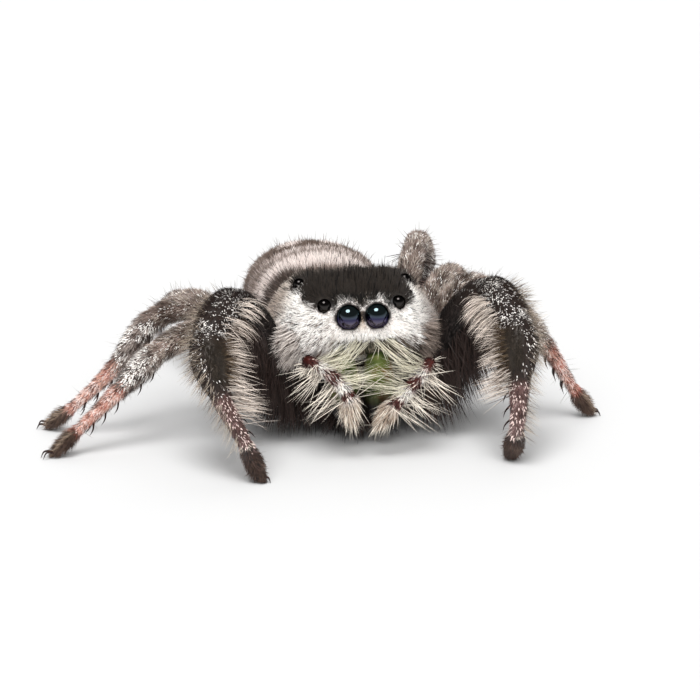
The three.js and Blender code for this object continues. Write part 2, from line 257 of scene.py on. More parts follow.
# ---- Forms: closed rings of points, with the lie of the coat ----
class Form:
    """One rounded form of the body: rings of points, and on each point the way its hairs lie.

    along runs from 0 at the first ring to 1 at the last by the length of the surface, and around is the angle
    about the form. Both place a hair on the form's own unwrap.
    """

    def __init__(self, name, kind, rings, around, flow, share=None):
        self.name = name
        self.kind = kind
        self.rings = rings
        self.around = around
        self.flow = np.broadcast_to(flow, rings.shape)
        gaps = distance(rings[1:], rings[:-1]).mean(axis=1)
        self.along = np.concatenate([[0], np.cumsum(gaps)]) / gaps.sum()
        self.share = self.along if share is None else share

    def mesh(self):
        count, sides = self.rings.shape[:2]
        points = np.vstack([self.rings[0].mean(0), self.rings.reshape(-1, 3), self.rings[-1].mean(0)])
        ring, side = np.meshgrid(np.arange(count - 1), np.arange(sides), indexing="ij")
        after = (side + 1) % sides
        a, b = 1 + ring * sides + side, 1 + ring * sides + after
        c, d = a + sides, b + sides
        walls = np.stack([np.stack([a, c, d], -1), np.stack([a, d, b], -1)]).reshape(-1, 3)
        first, last = 1 + side[0], 1 + (count - 1) * sides + side[0]
        caps = [
            np.stack([np.zeros(sides, int), first, np.roll(first, -1)], -1),
            np.stack([np.full(sides, len(points) - 1), np.roll(last, -1), last], -1),
        ]
        return points, np.vstack([walls, *caps])


def curve(joints, t):
    """A centripetal Catmull-Rom curve through the joints, as the solids have."""
    p = np.asarray(joints, float)
    p = np.vstack([2 * p[0] - p[1], p, 2 * p[-1] - p[-2]])
    place = np.clip(t, 0, 1) * (len(joints) - 1)
    i = np.minimum(place.astype(int), len(joints) - 2)
    s = (place - i)[:, None]
    a, b, c, d = (p[i + k] for k in range(4))
    first, second, third = (
        np.maximum(distance(v, u) ** 0.5, 1e-4)[:, None] for u, v in ((a, b), (b, c), (c, d))
    )
    out = ((b - a) / first - (c - a) / (first + second) + (c - b) / second) * second
    into = ((c - b) / second - (d - b) / (second + third) + (d - c) / third) * second
    return b + out * s + (3 * (c - b) - 2 * out - into) * s**2 + (2 * (b - c) + out + into) * s**3


def tangents(joints, t):
    small = 1e-3
    return unit(curve(joints, t + small) - curve(joints, t - small))


def leg_joints(name):
    """The six joints of a leg from hip to tip, let down or lifted evenly until the foot is on the floor."""
    sign = -1 if name[0] == "r" else 1
    hip, lengths, _, _ = LEG_PAIRS[name[1]]
    joints = [np.array([sign * hip[0], hip[1], hip[2]])]
    for length, yaw, pitch in zip(lengths, *np.radians(LEG_POSES[name])):
        level = math.cos(pitch) * length
        step = (sign * level * math.cos(yaw), level * math.sin(yaw), math.sin(pitch) * length)
        joints.append(joints[-1] + step)
    joints = np.array(joints)
    joints[:, 2] += (FOOT_HEIGHT - joints[-1, 2]) * np.arange(6) / 5
    return joints


def leg_girths(name):
    _, _, upper, lower = LEG_PAIRS[name[1]]
    return [girth * (upper if i < UPPER_STATIONS else lower) for i, girth in enumerate(LEG_GIRTHS)]


def is_right(name):
    return "r" in (name[0], name[-1])


def limb_frames(joints, t, right):
    """Points of a limb's path at t, with its direction, its dorsal side and its front side there."""
    tangent = tangents(joints, t)
    normal = unit(np.cross(joints[1] - joints[0], joints[-1] - joints[0]))
    side = unit(normal - tangent * dot(tangent, normal)[:, None])
    return curve(joints, t), tangent, -np.cross(side, tangent), side if right else -side


def dome(centre, axis, ways, radius, lifts):
    """Rings of a round end: each at an angle from the widest one, where ways point to its points."""
    return [centre + axis * radius * math.sin(a) + ways * radius * math.cos(a) for a in np.radians(lifts)]


def frame_on_leg(name, t):
    """One point of a leg's path, with its direction, its dorsal side and its front side there."""
    return (row[0] for row in limb_frames(leg_joints(name), np.array([t]), is_right(name)))


def limb(name, kind, joints, girths, flatness, waisting, rings, sides):
    """A limb with slight waists at its joints and a domed tip."""
    joints = np.asarray(joints, float)
    t = np.linspace(0, 1, rings)
    centre, tangent, dorsal, front = limb_frames(joints, t, is_right(name))
    radius = smooth_through(girths, t) - DEPTH[kind]
    radius *= 1 - 0.16 * ramp(0.94, 1, t)
    for joint in np.arange(1, len(joints) - 1) / (len(joints) - 1):
        radius *= 1 - waisting * hump(joint, 0.022, t)
    angle = full_turn(sides)
    ways = spokes(angle, dorsal, front, flatness)
    body = centre[:, None] + ways * radius[:, None, None]
    tip = dome(centre[-1], tangent[-1], ways[-1], radius[-1], [18, 36, 54, 72])
    whole = np.concatenate([body, tip])
    lie = np.concatenate([tangent, np.repeat(tangent[-1:], len(tip), axis=0)])[:, None, :]
    if not is_right(name):
        whole, angle = whole[:, ::-1], angle[::-1]
    return Form(name, kind, whole, angle, lie, np.concatenate([t, np.ones(len(tip))]))


def carapace_form():
    depth = DEPTH["carapace"]
    share = np.linspace(0, 1, CARAPACE_RINGS)
    y, width, top, bottom = smooth_through(CARAPACE, share).T
    outline = closed_outline(np.vstack([CARAPACE_SECTION, CARAPACE_SECTION[::-1] * (-1, 1)]), CARAPACE_RINGS)
    x = (width - depth)[:, None] * outline[None, :, 0]
    z = (bottom + depth)[:, None] + (top - bottom - 2 * depth)[:, None] * outline[None, :, 1]
    body = np.stack([x, np.repeat(y[:, None], len(outline), 1), z], -1)
    body[..., 1] += depth * ramp(0.15, 0, share)[:, None]
    middle = body[0].mean(0)
    shrink = np.linspace(0.03, 0.97, FACE_RINGS)
    face = [middle + (body[0] - middle) * s - (0, FACE_DOME * (1 - s * s), 0) for s in shrink]
    rings = np.concatenate([np.array(face), body])
    # A ring near the widest place gives the angles, about the middle of the head's height.
    widest = rings[-60] - (0, 0, 3.4)
    return Form("carapace", "carapace", rings, np.arctan2(widest[:, 0], widest[:, 2]), np.array([0, 1.0, 0]))


def ball(rings, sides, hole):
    """A ball of radius 1: its points' x, y and z, in rings along Y, and the angles of a ring's points."""
    lean = np.linspace(hole, np.pi - hole, rings)[:, None]
    angle = full_turn(sides)
    return np.sin(lean) * np.sin(angle), -np.cos(lean) * np.ones(sides), np.sin(lean) * np.cos(angle), angle


def abdomen_turn():
    return rotation("z", -ABDOMEN["turn"]) @ rotation("x", -ABDOMEN["tilt"])


def abdomen_form():
    a, depth = ABDOMEN, DEPTH["abdomen"]
    x, y, z, angle = ball(130, 120, 0.015)
    narrow = 1 - a["taper"] * np.maximum(y, 0) ** 2
    height = np.where(z > 0, a["top"], a["bottom"]) - depth
    width, length = a["half_width"] - depth, a["half_length"] - depth
    points = np.stack([x * width * narrow, y * length, z * height * narrow], -1)
    turn = abdomen_turn()
    return Form("abdomen", "abdomen", points @ turn.T + a["middle"], angle, turn @ (0, 1.0, 0))


def egg(name, kind, middle, half, turn=np.eye(3), rings=28, sides=32):
    """An ellipsoid with its ends along Y, or turned."""
    x, y, z, angle = ball(rings, sides, 0.06)
    points = np.stack([x * half[0], y * half[1], z * half[2]], -1)
    return Form(name, kind, points @ turn.T + np.asarray(middle), angle, turn @ (0, 1.0, 0))


def capsule(name, kind, start, end, start_radius, end_radius, sides=28):
    """A tapered rod with round ends."""
    start, end = np.asarray(start, float), np.asarray(end, float)
    axis = unit(end - start)
    side = unit(np.cross(axis, (0.05, 0.1, 1)))
    angle = full_turn(sides)
    ring = spokes(angle, np.cross(side, axis)[None], side[None])[0]
    wall = [
        start + (end - start) * s + ring * (start_radius + (end_radius - start_radius) * s)
        for s in np.linspace(0, 1, 14)[1:-1]
    ]
    first = dome(start, axis, ring, start_radius, [-80, -60, -40, -20, 0])
    last = dome(end, axis, ring, end_radius, [0, 20, 40, 60, 80])
    return Form(name, kind, np.array([*first, *wall, *last]), angle, axis)


def eye_places():
    """The name, middle, radius and outward direction of each eye."""
    for row, (x, y, z, radius) in EYES.items():
        for side, sign in SIDES:
            way = unit(np.array(EYE_WAYS[row]) * (sign, 1, 1))
            yield f"{row}_{side}", np.array([sign * x, y, z]), radius, way


EYE_LIST = list(eye_places())


def flesh_forms():
    """All the forms under the one skin."""
    slim = DEPTH["other"]
    forms = [carapace_form(), abdomen_form()]
    for name in LEG_POSES:
        forms.append(limb(name, "leg", leg_joints(name), leg_girths(name), LEG_FLATNESS, 0.1, 130, 40))
    for name, joints in PALPS.items():
        forms.append(limb(name, "palp", joints, PALP_GIRTHS, 1, 0.06, 90, 28))
    girth = WAIST["radius"] - slim
    forms.append(capsule("waist", "waist", WAIST["start"], WAIST["end"], girth, girth))
    middle, half = STERNUM["middle"], STERNUM["half"]
    forms.append(egg("sternum", "underside", middle, np.array(half) - slim))
    for name in LEG_POSES:
        hip, _, upper, _ = LEG_PAIRS[name[1]]
        sign = -1 if is_right(name) else 1
        along = middle[1] + (hip[1] - middle[1]) * COXA["crowding"]
        root = (sign * half[0] * COXA["reach"], along, middle[2])
        girth = LEG_GIRTHS[0] * (1 + upper) / 2 * COXA["girth"] - slim
        end = (sign * hip[0], *hip[1:])
        forms.append(capsule("coxa_" + name, "underside", root, end, girth * COXA["taper"], girth))
    middle, half = np.array(MOUTHPARTS["middle"]), np.array(MOUTHPARTS["half"]) - slim
    lobes = {
        # where each lobe lies and how large it is, in shares of the mouthparts' size
        "endite_r": ((-0.48, 0, 0), (0.5, 1, 1)),
        "endite_l": ((0.48, 0, 0), (0.5, 1, 1)),
        "labium": ((0, 0.7, -0.25), (0.36, 0.7, 0.7)),
    }
    for name, (place, size) in lobes.items():
        forms.append(egg(name, "underside", middle + half * place, half * size))
    x, y, z = SPINNERET["start"]
    spread, radius = SPINNERET["spread"], SPINNERET["radius"] - slim
    for i, (sideways, up) in enumerate(SPINNERET["fingers"]):
        start = (x + sideways * spread / 2, y, z + up * spread / 2)
        end = (x + sideways * spread, y + SPINNERET["length"], z + up * spread - SPINNERET["droop"])
        forms.append(capsule(f"spinneret_{i}", "spinneret", start, end, radius, radius * SPINNERET["taper"]))
    for name, middle, radius, way in EYE_LIST:
        rim = (radius * 1.04,) * 3
        forms.append(egg("rim_" + name, "carapace", middle - way * radius * 0.5, rim, rings=16, sides=24))
    return forms


# ---- From arrays to Blender pieces ----
def middle_of(node):
    low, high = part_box(node)
    return (np.array(low) + np.array(high)) / 2


_, eye_y, eye_z, _ = EYES["front_middle"]
between_eyes = (middle_of("eye_front_middle_r") + middle_of("eye_front_middle_l")) / 2
OFFSET = between_eyes - np.array([0, eye_y, eye_z]) * MM


def to_row(points):
    return np.asarray(points) * MM + OFFSET


def new_object(name, data):
    made = bpy.data.objects.new(name, data)
    bpy.context.scene.collection.objects.link(made)
    return made


def make_mesh(name, points, faces, smooth_shading=True):
    mesh = bpy.data.meshes.new(name)
    mesh.vertices.add(len(points))
    mesh.vertices.foreach_set("co", np.ascontiguousarray(points, np.float32).ravel())
    mesh.loops.add(faces.size)
    mesh.loops.foreach_set("vertex_index", np.ascontiguousarray(faces, np.int32).ravel())
    mesh.polygons.add(len(faces))
    mesh.polygons.foreach_set("loop_start", np.arange(len(faces), dtype=np.int32) * faces.shape[1])
    mesh.polygons.foreach_set("use_smooth", np.full(len(faces), smooth_shading))
    mesh.update(calc_edges=True)
    return mesh


def add_piece(name, points, faces, material, replaces=(), colours=None, spots=None):
    """A piece made of points in the animal's frame, each with its colour and its spot on the unwrap."""
    mesh = make_mesh(name, to_row(points), faces, spots is None)
    if colours is not None:
        layer = mesh.color_attributes.new("markings", "FLOAT_COLOR", "POINT")
        rgba = np.ones((len(points), 4), np.float32)
        rgba[:, :3] = linear(colours)
        layer.data.foreach_set("color", rgba.ravel())
    if spots is not None:
        layer = mesh.uv_layers.new(name="OFBake")
        layer.data.foreach_set("uv", np.ascontiguousarray(spots[faces.ravel()], np.float32).ravel())
    mesh.materials.append(material)
    piece = new_object(name, mesh)
    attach(piece, "root")
    if replaces:
        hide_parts(*replaces)


def joined(shapes):
    """One row of points and one of faces from several."""
    starts = np.cumsum([0] + [len(points) for points, _ in shapes])
    points = np.vstack([points for points, _ in shapes])
    return points, np.vstack([faces + start for (_, faces), start in zip(shapes, starts)])


# ---- Materials ----
def feed(tree, node, **values):
    """Sets inputs of a node, or links them to the outputs of others."""
    for key, value in values.items():
        socket = node.inputs[key.replace("_", " ")]
        if isinstance(value, bpy.types.NodeSocket):
            tree.links.new(value, socket)
        else:
            socket.default_value = value


def add_node(tree, kind, **values):
    """A shader node, with values for its own settings and for its inputs."""
    node = tree.nodes.new("ShaderNode" + kind)
    for key, value in values.items():
        if hasattr(node, key):
            setattr(node, key, value)
        else:
            feed(tree, node, **{key: value})
    return node


def new_material(name, roughness, specular=0.5, **inputs):
    """The material, its nodes, and the function that feeds its shader."""
    material = bpy.data.materials.new(name)
    material.use_nodes = True
    tree = material.node_tree
    shade = partial(feed, tree, tree.nodes["Principled BSDF"])
    shade(Roughness=roughness, Specular_IOR_Level=specular, **inputs)
    return material, tree, shade


def opaque(colour):
    return (*linear(colour), 1)


def rescaled(tree, value, low, high, new_low=0.0, new_high=1.0):
    """A value between low and high brought evenly to the range from new_low to new_high."""
    return add_node(
        tree, "MapRange", Value=value, From_Min=low, From_Max=high, To_Min=new_low, To_Max=new_high
    ).outputs["Result"]


def tinted(tree, fac, stops):
    """Colours blended along a value; stops are pairs of a place from 0 to 1 and a colour."""
    node = add_node(tree, "ValToRGB", Fac=fac)
    elements = node.color_ramp.elements
    elements[0].position, elements[1].position = stops[0][0], stops[-1][0]
    for place, _ in stops[1:-1]:
        elements.new(place)
    for element, (_, colour) in zip(elements, stops):
        element.color = opaque(colour)
    return node.outputs["Color"]


def place_of(tree, space="Object"):
    return add_node(tree, "TexCoord").outputs[space]


def upward(tree, vector):
    return add_node(tree, "SeparateXYZ", Vector=vector).outputs["Z"]


def grain(tree, size_mm, detail=3):
    """A noise texture in the object's own space, with grains of that size."""
    texture = add_node(tree, "TexNoise", Vector=place_of(tree), Scale=1 / (size_mm * MM), Detail=detail)
    return texture.outputs["Fac"]


def bumped(tree, height, strength, distance_mm):
    bump = add_node(tree, "Bump", Height=height, Strength=strength, Distance=distance_mm * MM)
    return bump.outputs["Normal"]


def varied(tree, colour, fac, amount):
    """The colour darkened by a texture, by up to twice that amount."""
    scale = rescaled(tree, fac, 0.25, 0.75, 1 - 2 * amount)
    return add_node(tree, "VectorMath", operation="SCALE", Vector=colour, Scale=scale).outputs["Vector"]


def marked_material(name, roughness, grain_mm, variation, bump_mm=0.0, **inputs):
    """A material that takes its colour from the markings of skin and coat."""
    material, tree, shade = new_material(name, roughness, **inputs)
    marks = add_node(tree, "VertexColor", layer_name="markings").outputs["Color"]
    speckle = grain(tree, grain_mm)
    shade(Base_Color=varied(tree, marks, speckle, variation))
    if bump_mm:
        shade(Normal=bumped(tree, speckle, 0.7, bump_mm))
    return material


# ---- Markings, shared by skin and coat ----
class Marks:
    """What grows at each of a row of places: colours of skin and hair, and how the hairs stand."""

    def __init__(self, count):
        self.skin = np.tile(DARK, (count, 1))
        self.hair = np.tile(GREY, (count, 1))
        self.fleck = np.zeros(count)  # the share of hairs that are pale scales
        self.fleck_colour = np.tile(WHITE, (count, 1))
        self.length = np.full(count, 0.2)
        self.lift = np.full(count, 22.0)
        self.width = np.full(count, 0.026)
        self.density = np.ones(count)
        self.strand = np.full(count, 0.05)  # the share of hairs much darker than their neighbours

    def paint(self, share, hair=None, skin=None):
        """Blends a colour into the hair, the skin or both."""
        if hair is not None:
            self.hair = blend(self.hair, hair, share)
        if skin is not None:
            self.skin = blend(self.skin, skin, share)


CAP_OUTLINE = (
    # places along the head, and half the width of the cap there
    (-2.6, -2.3, -1.84, -1.4, -0.98, -0.6, 0.0),
    (1.3, 1.5, 1.6, 1.6, 1.86, 1.82, 1.3),
)


def cap_share(p):
    """How far a place on the head lies within the black cap over the eyes."""
    x, y, z = np.abs(p[:, 0]), p[:, 1], p[:, 2]
    ragged = (mottle(p * (1, 0.6, 0.6), 0.12, 3) - 0.5) * 0.62
    inside = ramp(0.05, -0.05, x + ragged - np.interp(y, *CAP_OUTLINE)) * ramp(4.28, 4.36, z + 0.5 * ragged)
    over_eyes = ramp(-2.7, -2.5, y + ragged - 0.08 * hump(0.5, 0.35, x))
    beside_eyes = ramp(1.1, 1.2, x + ragged) * ramp(4.3, 4.38, z)
    behind = ramp(0.1, -0.7, y + ragged * 2.5)
    return inside * np.maximum(over_eyes, beside_eyes) * behind


def mark_carapace(m, p, site):
    x, y, z = np.abs(p[:, 0]), p[:, 1], p[:, 2]
    leftward = p[:, 0]
    blotch = mottle(p, 0.5, 11)
    streaked = noise(p * (1, 1, 1.6), 0.11, 5)
    cap = cap_share(p)
    rear = ramp(-1.5, 0.0, y + (blotch - 0.5) * 0.8)
    low = ramp(3.75, 2.7, z + (blotch - 0.5) * 0.4)

    # White cheeks, lilac low down and tan behind, and a brown thorax with a paler stripe along each side.
    thorax = blend(blend(TAN, GREY, blotch), BROWN, 0.6 * ramp(0.4, 1.8, y) * ramp(0.3, 0.7, blotch))
    thorax = blend(thorax, CREAM, 0.45 * (hump(1.75, 0.75, x) * ramp(1.4, 0.2, y)))
    m.hair = blend(WHITE, LILAC, 0.6 * low * ramp(0.3, 0.6, blotch))
    m.paint(0.65 * (ramp(-1.65, -0.75, y + (blotch - 0.5) * 0.6) * ramp(4.7, 4.3, z)), TAN)
    m.hair = blend(m.hair, thorax, rear)
    m.skin = blend((0.93, 0.90, 0.88), (0.22, 0.18, 0.16), rear)

    # A tan blaze between the big eyes, brown strokes and a spot on the cheeks, and the black cap.
    between = ramp(0.3, 0.1, x) * ramp(3.72, 3.95, z) * ramp(4.8, 4.5, z) * ramp(-2.4, -2.6, y)
    m.paint(0.75 * between, (0.74, 0.63, 0.52))
    strokes = ramp(0.62, 0.7, streaked) * ramp(0.55, 1.1, x) * ramp(4.35, 3.9, z) * ramp(-0.8, -1.6, y)
    m.paint((0.4 + 0.45 * (leftward < 0)) * strokes, BROWN)
    # Grey on the outer side of the left cheek is painted shade, on the side turned away from the light.
    shaded_far_cheek = ramp(1.75, 2.25, leftward) * ramp(4.7, 4.3, z) * ramp(0.2, 0.5, blotch) * (1 - rear)
    m.paint(0.55 * shaded_far_cheek, GREY)
    m.paint(ramp(0.085, 0.05, distance(p, (-1.32, -2.62, 3.62))), DARK)
    m.paint(cap, CAP, BLACK)

    jowl = ramp(3.7, 3.1, z) * ramp(1.3, 1.8, x)
    m.length = 0.21 - 0.01 * cap + 0.16 * rear + 0.03 * low * ramp(-1.8, -2.4, y) + 0.12 * jowl
    m.length *= 1 - 0.4 * ramp(3.6, 3.4, z) * ramp(1.3, 1.0, x) * ramp(-2.3, -2.5, y)
    m.length += 0.16 * shaded_far_cheek
    m.lift = 14 + 33 * cap + 9 * rear + 6 * low + 16 * shaded_far_cheek
    m.width = 0.025 + 0.007 * rear
    m.strand = 0.05 + 0.04 * low + 0.05 * ramp(0.6, 1.2, x) + 0.05 * ramp(-0.6, -1.2, leftward)
    m.density = (1.6 - 0.35 * cap - 0.85 * rear) * (1 - 0.6 * strokes) * (1 - 0.35 * low)

    # The lower edge: thin dark hair over the jaws, and shade under the left cheek.
    chin = ramp(3.47, 3.37, z + 0.12 * (streaked - 0.5)) * ramp(1.35, 1.0, np.abs(leftward - 0.28))
    chin *= ramp(-2.3, -2.5, y)
    m.density *= 1 - 0.8 * chin
    m.paint(0.75 * chin, (0.42, 0.37, 0.29))
    m.paint(chin, skin=(0.17, 0.17, 0.10))
    under_cheek = ramp(3.32, 3.16, z + 0.2 * (streaked - 0.5)) * ramp(1.1, 1.4, leftward)
    under_cheek *= ramp(-1.2, -1.8, y)
    m.paint(0.85 * under_cheek, (0.29, 0.245, 0.21))
    m.density *= 1 - 0.3 * under_cheek
    m.paint(0.6 * ramp(2.6, 2.3, z) * (1 - cap), BROWN)

    # Short dense hair round the eyes, dark rims, and speckled brows over the big ones.
    for name, middle, radius, _ in EYE_LIST:
        reach = distance(p, middle) / radius
        height = (z - middle[2]) / radius
        near = ramp(1.8, 1.25, reach)
        m.length *= 1 - 0.5 * near
        m.width *= 1 - 0.2 * near
        m.density *= 1 + 2.2 * near
        m.paint(ramp(1.22, 1.12, reach), skin=(0.10, 0.07, 0.06))
        m.paint(0.8 * ramp(1.13, 1.06, reach), (0.22, 0.16, 0.13))
        m.paint(ramp(1.9, 1.6, reach) * ramp(-0.6, 0.1, height) * name.startswith("front_side"), CAP, BLACK)
        brow = ramp(2.3, 1.6, reach) * ramp(0.2, 0.6, height) * name.startswith("front_middle")
        m.strand += 0.55 * brow


def mark_abdomen(m, p, site):
    """Two pale bands in front, paired pale spots on a dark field behind them, and slanting sashes."""
    x, y, z = ((p - ABDOMEN["middle"]) @ abdomen_turn()).T
    angle = np.abs(np.degrees(np.arctan2(x, z)))
    blotch = mottle(p, 0.55, 21)
    fine = noise(p, 0.14, 23)
    wave = y + (blotch - 0.5) * 0.35 + 0.2 * ramp(20, 80, angle)
    pale = blend((0.82, 0.76, 0.735), WHITE, 0.5 * fine)
    dusk = blend((0.32, 0.265, 0.235), (0.46, 0.395, 0.36), blotch)
    band = 2 * hump(-1.5, 0.95, wave) + 1.2 * hump(-0.42, 0.3, wave)
    m.hair = blend(dusk, pale, np.clip(band * (0.9 - 0.4 * ramp(35, 75, angle)), 0, 1))
    shoulder = ramp(28, 50, angle + 10 * (blotch - 0.5)) * ramp(-1.5, -2.0, wave)
    m.paint(0.92 * shoulder, (0.21, 0.165, 0.14))
    field = ramp(52, 34, angle + 14 * (blotch - 0.5)) * ramp(-0.35, 0.0, y)
    m.paint(0.75 * field, BROWN)
    for place, aside, size in ((0.65, 0.62, 0.45), (1.5, 0.5, 0.32), (2.15, 0.4, 0.25), (2.7, 0.3, 0.2)):
        far = np.hypot((np.abs(x) - aside) / size, (y - place) / (size * 0.8)) + 0.5 * (fine - 0.5)
        m.paint(ramp(1.15, 0.75, far), pale)
    sash = hump(0, 0.24, np.sin((y - angle / 45) * 2.6) * 0.5) * ramp(50, 62, angle) * ramp(125, 105, angle)
    m.paint(0.75 * sash * ramp(-0.4, 0.3, y), pale)
    below = ramp(118, 140, angle)
    m.paint(below, blend((0.52, 0.45, 0.41), BROWN, ramp(22, 12, 180 - angle + 20 * blotch)))
    m.skin = blend(m.hair, BLACK, 0.55)
    m.length = 0.34 + 0.1 * blotch - 0.06 * below
    m.lift = 24 + 8 * fine
    m.width[:] = 0.034
    m.density = 1.0 - 0.35 * below


def mark_leg(m, p, site):
    """t is the share of the way from hip to tip; theta is 0 on the leg's back and 90 on its front side."""
    first = Marks(len(p))
    t, theta, pair = site["share"], np.degrees(site["around"]), site["pair"]
    blotch = mottle(p, 0.3, 31)
    fine = noise(p, 0.11, 33)
    wobble = t + (blotch - 0.5) * 0.05
    foot = ramp(0.82, 0.86, t)
    shank_or_foot = ramp(0.6, 0.63, t)

    # First legs: black-brown with clusters of white scales, olive bare patches, lilac shanks and dark feet.
    first.hair = blend(DARK, BROWN, 0.6 * blotch)
    # Blacker towards the hip: partly the leg's own dark colour and partly painted shade under the head.
    first.paint(ramp(0.19, 0.1, t), BLACK)
    cluster = 1.2 * hump(0.27, 0.12, wobble) * ramp(80, 30, np.abs(theta - 80))
    cluster += 1.3 * hump(0.405, 0.05, wobble) * ramp(110, 50, np.abs(theta - 40))
    dots = hump(0.5, 0.1, wobble) * ramp(85, 40, np.abs(theta + 20))
    bare_middle = np.where(p[:, 0] < 0, 48, 80)
    bare = ramp(0.085, 0.05, np.abs(t - 0.51)) * ramp(46, 28, np.abs(theta - bare_middle))
    shank = ramp(0.6, 0.63, wobble) * ramp(0.85, 0.82, wobble)
    lilac = blend((0.60, 0.49, 0.48), (0.22, 0.15, 0.14), ramp(0.38, 0.52, noise(p, 0.17, 34)))
    first.paint(shank, lilac)
    first.paint(bare, blend((0.17, 0.145, 0.12), OLIVE, ramp(0, 26, theta - bare_middle)))
    tarsus = blend((0.31, 0.23, 0.20), (0.19, 0.15, 0.135), blotch)
    tarsus = blend(tarsus, (0.56, 0.48, 0.43), 0.5 * ramp(0.58, 0.72, noise(p, 0.13, 35)))
    first.paint(ramp(0.83, 0.85, wobble), tarsus)
    first.paint(0.8 * (hump(0.815, 0.02, t) * ramp(0.3, 0.5, blotch)), CREAM)
    flank = 0.25 + 0.75 * ramp(-30, 20, theta)
    first.fleck = 0.02 + (0.55 * np.clip(cluster, 0, 1) + 0.2 * dots + 0.2 * shank) * flank
    first.fleck = first.fleck * (1 - 0.94 * bare) * ramp(0.13, 0.2, t) * ramp(0.86, 0.84, t)
    first.fleck *= ramp(0.25, 0.5, fine)
    first.skin = blend((0.13, 0.10, 0.09), (0.32, 0.225, 0.21), shank)
    first.paint(bare, skin=(0.20, 0.165, 0.13))
    first.density = 1 + 0.2 * bare

    # The other legs: mottled grey thighs, a dark and white shin, pink shanks and dark feet.
    m.hair = blend((0.68, 0.60, 0.56), (0.26, 0.205, 0.175), ramp(0.46, 0.6, blotch))
    m.paint(0.6 * (pair == 4) + 0.3 * (pair == 3), (0.44, 0.38, 0.35))
    m.paint(0.6 * ramp(0.55, 0.7, fine), CREAM)
    m.paint(0.7 * ramp(0.14, 0.04, t), BROWN)
    shin = blend((0.25, 0.21, 0.195), (0.66, 0.61, 0.58), ramp(0.42, 0.64, fine))
    m.paint(ramp(0.4, 0.45, wobble), shin)
    rosy = blend(PINK, ROSE, ramp(0.4, 0.62, noise(p, 0.16, 36)))
    rosy = blend(rosy, (0.33, 0.22, 0.19), 0.85 * ramp(0.46, 0.6, noise(p, 0.2, 38)))
    rosy = blend(rosy, (0.33, 0.25, 0.22), 0.6 * ramp(100, 150, np.abs(theta)))
    m.paint(ramp(0.585, 0.61, wobble), rosy)
    joint_ring = hump(0.6, 0.015, t) + hump(0.2, 0.02, t) * 0.5 + hump(0.4, 0.016, t) * 0.6
    dark_band = hump(0.72, 0.02, wobble) * ramp(0.45, 0.6, blotch) + hump(0.785, 0.016, wobble) * 0.7
    m.paint(np.clip(dark_band + 0.4 * joint_ring, 0, 0.85), (0.22, 0.17, 0.15))
    m.paint(hump(0.81, 0.02, t) * 0.8, ROSE)
    m.paint(ramp(0.83, 0.85, wobble), blend((0.42, 0.34, 0.29), (0.28, 0.21, 0.18), blotch))
    m.paint(0.75 * (ramp(0.84, 0.86, t) * ramp(26, 10, np.abs(np.abs(theta) - 40))), (0.70, 0.62, 0.54))
    m.paint(0.3 * ramp(105, 150, np.abs(theta)) * ramp(0.82, 0.7, t), GREY)
    m.fleck = 0.25 + 0.45 * ramp(0.38, 0.43, t) * ramp(0.6, 0.58, t) + 0.3 * shank_or_foot
    m.fleck = m.fleck * ramp(0.84, 0.82, t) * ramp(0.35, 0.65, noise(p, 0.2, 37))
    m.skin = blend((0.33, 0.26, 0.23), (0.82, 0.64, 0.58), ramp(0.585, 0.61, t) * ramp(0.86, 0.83, t))
    m.paint(ramp(0.83, 0.86, t), skin=(0.22, 0.17, 0.14))

    for marks, length, lift in ((m, 0.25, 23), (first, 0.19, 16)):
        marks.length = length - 0.05 * shank_or_foot + 0.05 * foot
        marks.lift = lift + 6 * fine + 16 * foot
        marks.width = 0.027 - 0.003 * shank_or_foot + 0.002 * foot
        marks.density = marks.density * (1 - 0.15 * shank_or_foot * (1 - foot))
        marks.fleck_colour = blend(WHITE, (0.86, 0.76, 0.73), 0.85 * ramp(0.6, 0.64, t))
    for key, value in vars(first).items():
        getattr(m, key)[pair == 1] = value[pair == 1]


def palp_patches(t):
    """The almost bare dark red places at the knee and at the two joints beyond it."""
    places = hump(0.245, 0.13, t) + hump(0.5, 0.085, t) + hump(0.745, 0.068, t)
    return np.clip(places * 2.2, 0, 1) * ramp(0.12, 0.2, t)


def mark_palp(m, p, site):
    t = site["share"]
    blotch = noise(p, 0.2, 41)
    wobble = t + (blotch - 0.5) * 0.05
    patches = palp_patches(wobble + 0.07 * (noise(p, 0.09, 43) - 0.5))
    tarsus = ramp(0.78, 0.84, t)
    m.hair = blend(CREAM, WHITE, 0.5 + 0.5 * blotch)
    m.skin = blend((0.40, 0.28, 0.24), (0.30, 0.20, 0.17), blotch)
    m.paint(patches, MAROON, (0.30, 0.11, 0.09))
    m.paint(ramp(0.2, 0.14, t), DARK, BLACK)
    m.paint(tarsus * (0.6 + 0.4 * blotch), (0.72, 0.63, 0.55))
    m.strand = 0.22 + 0.18 * patches
    m.fleck = 0.1 * patches * ramp(0.35, 0.6, noise(p, 0.1, 44))
    m.fleck_colour[:] = (0.92, 0.83, 0.78)
    m.length = 0.2 + 0.06 * tarsus - 0.05 * patches
    m.lift = 30 - 10 * patches
    m.density = 1 - 0.25 * patches


def mark_underside(m, p, site):
    blotch = mottle(p, 0.4, 51)
    m.hair = blend(BROWN, GREY, 0.6 * blotch)
    m.skin = blend((0.12, 0.09, 0.08), (0.2, 0.15, 0.13), blotch)
    m.density[:] = 0.6


def mark_waist(m, p, site):
    m.hair[:] = BROWN
    m.skin[:] = (0.24, 0.18, 0.16)
    m.density[:] = 0.3


def mark_spinneret(m, p, site):
    t = site["share"]
    m.hair = blend(BROWN, DARK, ramp(0.4, 0.8, t))
    m.skin = blend((0.36, 0.27, 0.23), (0.16, 0.12, 0.1), ramp(0.3, 0.8, t))
    m.length[:] = 0.16


